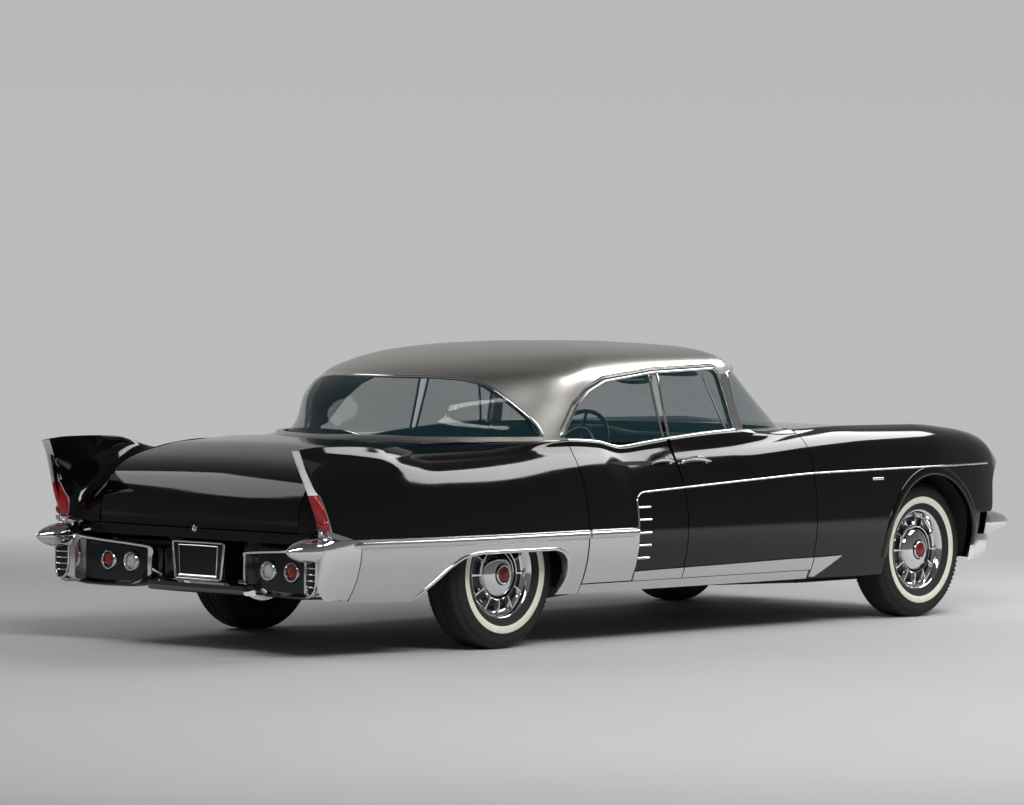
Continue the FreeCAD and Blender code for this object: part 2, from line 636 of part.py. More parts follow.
# ---------------------------------------------------------------- bumpers, grille and lamps
def bullet(x_root, x_tip, y, z, radius):
    """Pointed bumper guard, turned about an axis along X."""
    way = 1 if x_tip > x_root else -1
    length = abs(x_tip - x_root)
    outline = [(0, 0)]
    steps = 10
    for i in range(steps + 1):
        t = i / steps
        outline.append((t * (length - 6), radius * (1 - t ** 1.9) + 8 * t))
    outline += [(length - 1.5, 4.5), (length, 0)]
    face = Part.Face(polygon([Vector(x_root + way * a, y, z + r) for a, r in outline]))
    return face.revolve(Vector(x_root, y, z), Vector(1, 0, 0), 360)


def ring_section(y, points, bulge):
    """Closed section at y: front top, rear top, an arc over the rear face, rear bottom, front bottom."""
    a, b, c, d = [Vector(x, y, z) for x, z in points]
    middle = Vector(bulge[0], y, bulge[1])
    edges = [Part.makeLine(a, b), Part.Arc(b, middle, c).toShape(), Part.makeLine(c, d), Part.makeLine(d, a)]
    return Part.Wire(edges)


# Rear bumper end. y, front x, rear top x z, rear middle x z, rear bottom x z, front bottom z
REAR_POD = [
    (299, -2432, -2500, 462, -2494, 392, -2447, 320, 312),
    (350, -2432, -2512, 472, -2514, 380, -2476, 284, 280),
    (448, -2432, -2516, 478, -2524, 376, -2498, 268, 266),
    (598, -2432, -2526, 486, -2536, 376, -2514, 266, 264),
    (730, -2436, -2548, 500, -2566, 380, -2544, 272, 268),
    (819, -2440, -2574, 520, -2592, 400, -2566, 292, 285),
    (880, -2440, -2540, 520, -2562, 410, -2530, 320, 310),
]


def rear_bumper():
    """Rear bumper: a low centre bar between two deep ends, each with lamps, a vent and a bullet."""
    sections = []
    for y, xf, xt, zt, xm, zm, xb, zb, zf in REAR_POD:
        sections.append(ring_section(y, [(xf, zt - 12), (xt, zt), (xb, zb), (xf, zf)], (xm, zm)))
    end = Part.makeLoft(sections, True, False)
    wrap = side_slab([BUMPER_JOINT_X - 2, -2440, TAIL_X], PANEL_WALL, False)
    wrap = wrap.common(box(-2600, -2300, 500, 1100, 100, SPLIT_Z - 5))
    cone = bullet(-2500, -LENGTH / 2, 815, 494, 62)
    cutters = [Part.makeCylinder(56, 100, Vector(-2478, y, 385), Vector(-1, 0, 0)) for y in (448, 598)]
    cutters += [box(-2700, -2562, 800, 838, 300 + 26 * i, 318 + 26 * i) for i in range(5)]
    pod = fuse([end, wrap, cone]).cut(Part.makeCompound(cutters))
    corners = [(-2432, 312), (-2500, 320), (-2492, 262), (-2432, 262)]
    bar = Part.makeLoft([ring_section(y, corners, (-2530, 286)) for y in (-310, 0, 310)], True, False)
    return fuse([pod, mirrored(pod), bar])


def front_bumper():
    """Front bumper: a lower blade that wraps the corners, a bar across the grille and two bullets."""
    rows = [(0, 2592), (300, 2584), (560, 2560), (740, 2516), (850, 2450), (897, 2370)]
    rows = [(-y, x) for y, x in reversed(rows[1:])] + rows
    sections = []
    for y, x in rows:
        back = x - 60
        corners = [(back, 411), (x - 8, 407), (x - 70, 286), (back - 40, 280)]
        sections.append(ring_section(y, corners, (x - 14, 344)))
    blade = Part.makeLoft(sections, True, False)
    parts = [blade, box(2470, 2500, -752, 752, 446, 482)]
    for y in (-752, 752):
        parts.append(bullet(2428, LENGTH / 2, y, 464, 54))
        parts.append(box(2480, 2500, y - 17, y + 17, 400, 464))
    return fuse(parts)


def grille():
    """Egg-crate grille in its surround."""
    bars = [box(2436, 2462, -640, 640, z, z + 8) for z in range(424, 620, 36)]
    bars += [box(2430, 2454, y - 3, y + 3, 412, 626) for y in range(-620, 621, 62)]
    rim = box(2424, 2466, -652, 652, 400, 634).cut(box(2400, 2500, -640, 640, 412, 624))
    return fuse([rim] + bars)


def headlamps():
    """Paired headlamps in their bezels."""
    parts = [box(2440, 2452, 500, 812, 640, 790)]
    for y in (582, 734):
        parts.append(Part.makeCylinder(74, 36, Vector(2446, y, 716), Vector(1, 0, 0)))
        dome = Part.makeSphere(150, Vector(2482 - 124, y, 716))
        dome = dome.common(Part.makeCylinder(68, 60, Vector(2470, y, 716), Vector(1, 0, 0)))
        parts.append(dome)
    return both(fuse(parts))


def rear_lamps(fin):
    """Fin lamps, and the round lamps in the bumper ends."""
    fin_lamp = rod((-2572, 836, 722), (-2540, 846, 612), 20)
    fin_lamp = fin_lamp.fuse(Part.makeSphere(28, Vector(-2541, 846, 606))).cut(fin)
    shapes = [max(fin_lamp.Solids, key=lambda s: s.Volume)]
    for y in (448, 598):
        shapes.append(Part.makeCylinder(50, 16, Vector(-2478, y, 385), Vector(-1, 0, 0)))
    return both(Part.makeCompound(shapes))


def tail_panel(bumper):
    """Panel below the boot lid, fitted round the bumper ends, with the drilled holder for the rear plate."""
    outline = [
        (-2514, 557), (-2514, 512), (-2425, 484), (-2425, 330),
        (-2413, 330), (-2413, 494), (-2499, 522), (-2499, 557),
    ]
    panel = prism(outline, -770, 770)
    stays = [box(-2482, -2420, y - 5, y + 5, 340, 480) for y in (-145, 145)]
    holder = fuse([box(-2484, -2480, -165, 165, 326, 492)] + stays)
    corners = [(y, z) for y in (-88.9, 88.9) for z in (-60.325, 60.325)]
    holes = [Part.makeCylinder(3.2, 20, Vector(-2490, y, 409 + z), Vector(1, 0, 0)) for y, z in corners]
    return panel.cut(bumper).fuse(holder).cut(Part.makeCompound(holes))


# ---------------------------------------------------------------- cabin
def bench(x_front, x_rear, base, cushion_z, back_z, lean, half):
    """Bench seat: cushion and leaning back in one side-view outline, standing on its base."""
    outline = [
        (x_front, base), (x_front + 12, cushion_z - 40), (x_front - 30, cushion_z),
        (x_rear + 190, cushion_z - 30), (x_rear + 190 - lean, back_z - 30),
        (x_rear + 140 - lean, back_z), (x_rear + 60 - lean, back_z - 20), (x_rear + 20, base),
    ]
    return prism(outline, -half, half)


def dashboard(shell):
    """Dashboard with its top roll, fitted inside the roof's foot, and the steering column."""
    well = Part.Face(outline_at(GLASSHOUSE[0], 45, 0)).extrude(Vector(0, 0, 100))
    top = well.common(box(640, 1140, -700, 700, 930, 950))
    face = box(640, 676, -700, 700, 700, 936)
    column = rod((600, 375, 831), (1180, 375, 560), 24)
    return fuse([top, face, column]).cut(shell)


def steering_wheel():
    """Steering wheel with two spokes and a horn ring."""
    hoops = []
    for radius, thick in ((205, 11), (120, 5)):
        angles = [math.radians(a) for a in range(0, 360, 45)]
        corners = [(radius + thick * math.cos(a), thick * math.sin(a)) for a in angles]
        face = Part.Face(polygon([Vector(x, 0, z) for x, z in corners]))
        hoops.append(face.revolve(Vector(0, 0, 0), Vector(0, 0, 1), 360))
    hub = Part.makeCylinder(34, 60, Vector(0, 0, -40))
    spokes = box(-8, 8, -200, 200, -8, 4)
    shape = fuse(hoops + [hub, spokes])
    shape.rotate(Vector(0, 0, 0), Vector(0, 1, 0), -65)
    shape.translate(Vector(548, 375, 855.4))
    return shape


def engine():
    """Engine and gearbox as one plain block."""
    return box(1290, 2000, -230, 230, 300, 800).fuse(box(900, 1290, -130, 130, 285, 385))


def main():
    """Builds every node and writes its file."""
    os.makedirs(OUT, exist_ok=True)
    wing = wings()
    save("wing_left", wing)
    save("wing_right", mirrored(wing))
    upper, lower = quarters()
    save("quarter_left", upper)
    save("quarter_right", mirrored(upper))
    save("side_trims", Part.makeCompound(both(lower).Solids + both(sill()).Solids))
    front, rear, corner = doors()
    save("door_front_left", front)
    save("door_front_right", mirrored(front))
    save("door_rear_left", rear)
    save("door_rear_right", mirrored(rear))
    save("bonnet", bonnet())
    save("boot_lid", boot_lid())
    deck = deck_panel()
    save("deck_panel", deck)
    cowl_panel = cowl(corner)
    save("cowl", cowl_panel)
    save("bulkhead", bulkhead(cowl_panel))
    keep_clear = Part.makeCompound([deck, cowl_panel] + both(upper).Solids)
    shell = roof(Part.makeCompound([keep_clear] + both(wing).Solids))
    below = pillars(shell)
    save("roof", shell.cut(box(-3000, 3000, -1200, 1200, 900, PILLAR_TOP_Z)))
    save("pillars", below)
    screen, back, glass_front, glass_rear = glazing(front, rear, keep_clear)
    save("windscreen", screen)
    save("rear_window", back)
    save("glass_front_left", glass_front)
    save("glass_front_right", mirrored(glass_front))
    save("glass_rear_left", glass_rear)
    save("glass_rear_right", mirrored(glass_rear))
    save("floor", floor())
    save("tunnel", tunnel())
    save("boot_floor", boot_floor())
    save("wheel_housings", wheel_housings())
    save("chassis", chassis())
    save("knuckle_left", knuckle())
    save("knuckle_right", mirrored(knuckle()))
    save("rear_axle", rear_axle())
    for end, x in (("front", FRONT_AXLE_X), ("rear", REAR_AXLE_X)):
        rubber, metal = tyre(x), wheel(x)
        save("tyre_%s_left" % end, rubber)
        save("tyre_%s_right" % end, mirrored(rubber))
        save("wheel_%s_left" % end, metal)
        save("wheel_%s_right" % end, mirrored(metal))
    bumper = rear_bumper()
    save("rear_bumper", bumper)
    save("front_bumper", front_bumper())
    save("grille", grille())
    save("headlamps", headlamps())
    save("rear_lamps", rear_lamps(upper))
    save("tail_panel", tail_panel(bumper))
    over_tunnel = box(-1000, 1000, -TUNNEL_HALF, TUNNEL_HALF, 0, TUNNEL_TOP_Z)
    save("front_seat", bench(150, -420, FLOOR_Z + PAN_WALL, 560, 850, 90, 640).cut(over_tunnel))
    save("rear_seat", bench(-610, -1170, 470, 560, 880, 0, 620))
    save("dashboard", dashboard(shell))
    save("steering_wheel", steering_wheel())
    save("engine", engine())


main()
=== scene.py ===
"""Looks of a four-door 1950s hardtop saloon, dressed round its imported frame.

Sizes are in millimetres, and every mesh is written in metres. X points forwards, Y to
the car's left and Z up, with the origin on the ground under the centre of the car.
"""
import json
import logging
import math
from dataclasses import dataclass, field
from enum import Enum
from typing import Callable, Iterable, Optional, Sequence, Union

import bmesh
import bpy
from mathutils import Matrix, Vector

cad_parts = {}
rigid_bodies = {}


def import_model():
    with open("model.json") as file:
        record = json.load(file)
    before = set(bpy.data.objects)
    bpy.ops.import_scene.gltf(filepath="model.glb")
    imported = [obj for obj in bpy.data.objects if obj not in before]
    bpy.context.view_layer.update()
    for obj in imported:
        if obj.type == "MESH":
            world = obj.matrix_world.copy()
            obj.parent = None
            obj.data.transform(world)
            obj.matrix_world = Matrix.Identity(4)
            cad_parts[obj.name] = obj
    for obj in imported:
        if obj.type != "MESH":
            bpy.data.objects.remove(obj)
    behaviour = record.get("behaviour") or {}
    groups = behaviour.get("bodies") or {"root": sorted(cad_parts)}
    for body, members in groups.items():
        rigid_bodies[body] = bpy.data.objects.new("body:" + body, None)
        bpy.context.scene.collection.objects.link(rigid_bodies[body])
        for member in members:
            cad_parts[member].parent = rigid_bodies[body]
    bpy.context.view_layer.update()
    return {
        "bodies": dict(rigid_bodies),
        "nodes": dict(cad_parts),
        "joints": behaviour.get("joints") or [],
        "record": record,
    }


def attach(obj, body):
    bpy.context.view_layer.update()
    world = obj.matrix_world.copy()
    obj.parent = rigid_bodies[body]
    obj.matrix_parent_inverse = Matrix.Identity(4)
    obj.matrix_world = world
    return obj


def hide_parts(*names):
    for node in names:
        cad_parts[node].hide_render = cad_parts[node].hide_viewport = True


MM = 0.001
SIDES = (1, -1)                 # left, right
HALF_GAP = 3                    # half of the shut lines' width
FRONT_AXLE, REAR_AXLE = 1828.0, -1372.0
AXLE_Z = 346.0
MERGE = 0.01                    # distance under which a mesh's vertices join
CREASE = 35.0                   # degrees past which an edge is sharp
HAIR = 0.01                     # radius that closes a turned shape on its axis
Number = Union[int, float]
Point = tuple[float, float, float]
Flat = tuple[float, float]
Slot = Union[int, Callable[[int, int], int]]
log = logging.getLogger("saloon")


# ================================================================ shader maths
class Value:
    """One socket of a shader, usable in Python arithmetic."""

    def __init__(self, shader: "Shader", socket: bpy.types.NodeSocket) -> None:
        """Keeps the shader the socket belongs to."""
        self.shader = shader
        self.socket = socket

    def _math(self, operation: str, *values: "Input") -> "Value":
        """Adds one Math node."""
        slots = dict(enumerate(values))
        return self.shader.node("ShaderNodeMath", {"operation": operation}, slots)

    def __add__(self, other: "Input") -> "Value":
        """Sum."""
        return self._math("ADD", self, other)

    def __sub__(self, other: "Input") -> "Value":
        """Difference."""
        return self._math("SUBTRACT", self, other)

    def __mul__(self, other: "Input") -> "Value":
        """Product."""
        return self._math("MULTIPLY", self, other)

    def __truediv__(self, other: "Input") -> "Value":
        """Quotient."""
        return self._math("DIVIDE", self, other)

    def __pow__(self, other: "Input") -> "Value":
        """Power."""
        return self._math("POWER", self, other)

    def __rsub__(self, other: "Input") -> "Value":
        """Reflected difference."""
        return self._math("SUBTRACT", other, self)

    __radd__ = __add__
    __rmul__ = __mul__

    def clamped(self) -> "Value":
        """The value held between 0 and 1."""
        return self.shader.node("ShaderNodeClamp", {}, {"Value": self})


Input = Union[Value, Number, Sequence[float]]


def rgba(value: Input) -> Input:
    """A colour of three numbers with its alpha; anything else as it is."""
    if isinstance(value, (Value, int, float)) or len(value) != 3:
        return value
    return (*value, 1.0)


class Shader:
    """A material's node tree, built by expressions."""

    def __init__(self, name: str) -> None:
        """Starts an empty material with its surface shader.

        Args:
            name: the material's name.
        """
        self.material = bpy.data.materials.new(name)
        self.material.use_nodes = True
        self.tree = self.material.node_tree
        self.tree.nodes.clear()
        self.surface = self.tree.nodes.new("ShaderNodeBsdfPrincipled")
        output = self.tree.nodes.new("ShaderNodeOutputMaterial")
        self.tree.links.new(self.surface.outputs["BSDF"], output.inputs["Surface"])

    def feed(self, socket: bpy.types.NodeSocket, value: Input) -> None:
        """Links or sets one input."""
        if isinstance(value, Value):
            self.tree.links.new(value.socket, socket)
        else:
            socket.default_value = value

    def node(self, kind: str, settings: dict, values: dict, output: Union[int, str] = 0) -> Value:
        """Adds any node.

        Args:
            kind: the node's type.
            settings: its properties, set first; "stops" sets a ramp's stops.
            values: input name or index to a value, a constant or a Value.
            output: which output to return.

        Returns:
            The chosen output.
        """
        made = self.tree.nodes.new(kind)
        for key, setting in settings.items():
            if key == "stops":
                ramp = made.color_ramp
                while len(ramp.elements) < len(setting):
                    ramp.elements.new(0.5)
                for element, (place, colour) in zip(ramp.elements, setting):
                    element.position = place
                    element.color = (*colour, 1.0)
            else:
                setattr(made, key, setting)
        for key, value in values.items():
            self.feed(made.inputs[key], value)
        return Value(self, made.outputs[output])

    def place(self, scale: Sequence[float] = (1, 1, 1)) -> Value:
        """Object coordinates, scaled."""
        raw = self.node("ShaderNodeTexCoord", {}, {}, "Object")
        return self.node("ShaderNodeMapping", {}, {"Vector": raw, "Scale": scale})

    def noise(self, scale: Sequence[float], detail: float) -> Value:
        """Fractal noise over the object, with its own scale along each axis."""
        values = {"Vector": self.place(scale), "Scale": 1.0, "Detail": detail}
        return self.node("ShaderNodeTexNoise", {}, values)

    def axis(self, name: str) -> Value:
        """One object coordinate: X, Y or Z."""
        return self.node("ShaderNodeSeparateXYZ", {}, {0: self.place()}, name)

    def mix(self, factor: Input, low: Input, high: Input) -> Value:
        """A colour between two.

        Args:
            factor: share of the second colour.
            low: the first colour.
            high: the second colour.

        Returns:
            The mixed colour.
        """
        made = self.tree.nodes.new("ShaderNodeMix")
        made.data_type = "RGBA"
        for key, value in {0: factor, 6: low, 7: high}.items():
            self.feed(made.inputs[key], rgba(value))
        return Value(self, made.outputs[2])

    def bump(self, height: Value, strength: float, depth: float) -> Value:
        """A normal from a height, with its depth in metres."""
        return self.node(
            "ShaderNodeBump", {}, {"Height": height, "Strength": strength, "Distance": depth}
        )

    def set(self, **inputs: Input) -> bpy.types.Material:
        """Feeds the surface shader.

        Args:
            inputs: input names, with underscores for spaces.

        Returns:
            The finished material.
        """
        for key, value in inputs.items():
            self.feed(self.surface.inputs[key.replace("_", " ")], rgba(value))
        return self.material


Colour = tuple[float, float, float]


def tint(colour: Colour, factor: float, lift: float = 0.0) -> Colour:
    """A colour made darker or paler."""
    return tuple(c * factor + lift for c in colour)


# ================================================================ finishes
@dataclass(frozen=True)
class GlossPaint:
    """Deep polished cellulose, with faint orange peel and dust."""

    name: str
    colour: Colour
    roughness: float = 0.05

    def material(self) -> bpy.types.Material:
        """Builds the finish.

        Returns:
            The material.
        """
        shader = Shader(self.name)
        dust = shader.noise((7, 7, 11), 6)
        peel = shader.noise((190, 190, 190), 2)
        colour = shader.mix((dust - 0.45) * 0.5, self.colour, tint(self.colour, 1.8, 0.002))
        return shader.set(
            Base_Color=colour, Roughness=dust * 0.04 + self.roughness, Specular_IOR_Level=0.42,
            Normal=shader.bump(peel, 0.015, 0.0004),
        )


@dataclass(frozen=True)
class BrushedSteel:
    """Stainless sheet with a fine grain along the car."""

    name: str
    colour: Colour
    roughness: float = 0.3
    grain: Sequence[float] = (6, 420, 420)

    def material(self) -> bpy.types.Material:
        """Builds the finish.

        Returns:
            The material.
        """
        shader = Shader(self.name)
        strokes = shader.noise(self.grain, 4)
        patches = shader.noise((3, 5, 5), 3)
        tone = shader.mix(strokes * 0.6 + patches * 0.4, tint(self.colour, 0.86), self.colour)
        return shader.set(
            Base_Color=tone, Metallic=1.0,
            Roughness=strokes * 0.12 + patches * 0.05 + (self.roughness - 0.08),
            Normal=shader.bump(strokes, 0.12, 0.0004),
        )


@dataclass(frozen=True)
class Chrome:
    """Bright plating with light swirls and a little haze."""

    name: str
    colour: Colour = (0.78, 0.78, 0.79)
    roughness: float = 0.06

    def material(self) -> bpy.types.Material:
        """Builds the finish.

        Returns:
            The material.
        """
        shader = Shader(self.name)
        haze = shader.noise((14, 14, 14), 5)
        swirl = shader.noise((260, 60, 260), 3)
        tone = shader.mix((haze - 0.4) * 0.6, self.colour, tint(self.colour, 0.88))
        return shader.set(
            Base_Color=tone, Metallic=1.0, Roughness=haze * 0.05 + (self.roughness - 0.02),
            Normal=shader.bump(swirl, 0.02, 0.0003),
        )


@dataclass(frozen=True)
class TintedGlass:
    """Heat-absorbing blue-green glass."""

    name: str
    colour: Colour = (0.022, 0.075, 0.092)
    alpha: float = 0.25

    def material(self) -> bpy.types.Material:
        """Builds the finish.

        Returns:
            The material.
        """
        shader = Shader(self.name)
        film = shader.noise((1.5, 1.5, 3), 2)
        wave = shader.noise((1.2, 1.2, 2), 0)
        return shader.set(
            Base_Color=shader.mix(film, tint(self.colour, 0.8), self.colour),
            Roughness=film * 0.03 + 0.005, Alpha=film * 0.06 + (self.alpha - 0.03),
            Specular_IOR_Level=0.6,
            Normal=shader.bump(wave, 0.02, 0.002),
        )


@dataclass(frozen=True)
class Lens:
    """Moulded lamp lens with fine ribs inside."""

    name: str
    colour: Colour
    alpha: float = 0.9
    ribs: float = 90.0

    def material(self) -> bpy.types.Material:
        """Builds the finish.

        Returns:
            The material.
        """
        shader = Shader(self.name)
        wave = shader.node(
            "ShaderNodeTexWave", {"bands_direction": "Z"},
            {"Vector": shader.place(), "Scale": self.ribs, "Distortion": 0.2}, 1,
        )
        depth = shader.noise((40, 40, 40), 2)
        paler = tuple(min(1.0, c * 1.7) for c in self.colour)
        return shader.set(
            Base_Color=shader.mix(depth, self.colour, paler),
            Roughness=wave * 0.08 + 0.05, Coat_Weight=0.6, Coat_Roughness=0.02, Alpha=self.alpha,
            Normal=shader.bump(wave, 0.25, 0.0012),
        )


@dataclass(frozen=True)
class Rubber:
    """Tyre rubber or a pale wall band, lightly bloomed."""

    name: str
    colour: Colour
    roughness: float = 0.75

    def material(self) -> bpy.types.Material:
        """Builds the finish.

        Returns:
            The material.
        """
        shader = Shader(self.name)
        bloom = shader.noise((22, 22, 22), 5)
        pores = shader.noise((700, 700, 700), 2)
        return shader.set(
            Base_Color=shader.mix(bloom, tint(self.colour, 0.82), tint(self.colour, 1.15)),
            Roughness=bloom * 0.2 + (self.roughness - 0.1), Normal=shader.bump(pores, 0.2, 0.0003),
        )


@dataclass(frozen=True)
class Leather:
    """Upholstery hide with a fine grain and random patches of softer wear."""

    name: str
    colour: Colour
    roughness: float = 0.5

    def material(self) -> bpy.types.Material:
        """Builds the finish.

        Returns:
            The material.
        """
        shader = Shader(self.name)
        cells = shader.node(
            "ShaderNodeTexVoronoi", {"feature": "DISTANCE_TO_EDGE"},
            {"Vector": shader.place(), "Scale": 420.0},
        )
        wear = shader.noise((9, 9, 9), 4)
        return shader.set(
            Base_Color=shader.mix(wear, tint(self.colour, 0.75), tint(self.colour, 1.3)),
            Roughness=wear * 0.2 + (self.roughness - 0.1), Normal=shader.bump(cells, 0.3, 0.0005),
        )


@dataclass(frozen=True)
class Cloth:
    """Carpet or headlining: a soft napped weave."""

    name: str
    colour: Colour
    pitch: float = 900.0

    def material(self) -> bpy.types.Material:
        """Builds the finish.

        Returns:
            The material.
        """
        shader = Shader(self.name)
        nap = shader.noise((self.pitch,) * 3, 3)
        drift = shader.noise((12, 12, 12), 4)
        return shader.set(
            Base_Color=shader.mix(
                nap * 0.7 + drift * 0.3, tint(self.colour, 0.6), tint(self.colour, 1.4)
            ),
            Roughness=drift * 0.1 + 0.85, Normal=shader.bump(nap, 0.6, 0.0015),
        )


@dataclass(frozen=True)
class DullMetal:
    """Painted or cast metal out of sight, with road grime; also the near-black painted shadow."""

    name: str
    colour: Colour
    metallic: float = 0.2
    roughness: float = 0.6

    def material(self) -> bpy.types.Material:
        """Builds the finish.

        Returns:
            The material.
        """
        shader = Shader(self.name)
        grime = shader.noise((11, 11, 11), 6)
        cast = shader.noise((240, 240, 240), 3)
        return shader.set(
            Base_Color=shader.mix(grime, self.colour, tint(self.colour, 1.5, 0.006)),
            Metallic=self.metallic,
            Roughness=grime * 0.25 + (self.roughness - 0.12),
            Normal=shader.bump(cast, 0.25, 0.0008),
        )


class Finish(Enum):
    """Every finish on the car."""

    BLACK = GlossPaint("polished_black", (0.0022, 0.0022, 0.0027))
    STEEL = BrushedSteel("roof_steel", (0.66, 0.64, 0.60), 0.30)
    PANEL_STEEL = BrushedSteel("panel_steel", (0.74, 0.73, 0.72), 0.24)
    SATIN = BrushedSteel("satin_steel", (0.86, 0.85, 0.84), 0.55)
    CHROME = Chrome("bright_plate")
    # painted shade: a darker copy of the bright plating for the rear bumper's undersides and the
    # bar between its ends
    SHADED_CHROME = Chrome("shaded_plate", (0.17, 0.17, 0.18), 0.12)
    # painted shade: near-black plating for the shade in the wheels' pockets, grooves and hubs and
    # in the rear lamp bays
    PAINTED_SHADE_PLATE = Chrome("painted_shade_plate", (0.045, 0.047, 0.052), 0.14)
    GLASS = TintedGlass("tinted_glass")
    RED_LENS = Lens("ruby_lens", (0.24, 0.005, 0.008))
    CLEAR_LENS = Lens("pale_lens", (0.78, 0.79, 0.76), 0.75)
    TYRE = Rubber("black_rubber", (0.012, 0.012, 0.013))
    WHITE_WALL = Rubber("wall_band", (0.90, 0.86, 0.74), 0.6)
    SEAL = Rubber("seal_rubber", (0.01, 0.01, 0.01))
    HIDE = Leather("seat_hide", (0.035, 0.035, 0.04))
    PALE_HIDE = Leather("piping_hide", (0.42, 0.42, 0.40))
    CARPET = Cloth("carpet", (0.02, 0.02, 0.022))
    LINING = Cloth("headlining", (0.34, 0.34, 0.32), 500.0)
    FRAME = DullMetal("frame_black", (0.012, 0.012, 0.012))
    BLOCK = DullMetal("engine_enamel", (0.03, 0.05, 0.10), 0.1, 0.45)
    DASH = GlossPaint("dash_enamel", (0.02, 0.02, 0.022), 0.2)
    HUB_RED = GlossPaint("hub_enamel", (0.20, 0.006, 0.010), 0.1)
    # painted shadow: near-black for the shade behind the grille, inside the bumper vents and in the
    # front wheel houses
    SHADOW = DullMetal("painted_shadow_black", (0.004, 0.004, 0.004), 0.0, 0.8)

    def made(self) -> bpy.types.Material:
        """The finish's material, built on first use."""
        return bpy.data.materials.get(self.value.name) or self.value.material()


# ================================================================ meshes
def around(count: int) -> list[float]:
    """Even angles over a full turn."""
    return [2 * math.pi * k / count for k in range(count)]


def shares(count: int) -> list[float]:
    """Even shares from 0 to 1."""
    return [k / count for k in range(count + 1)]


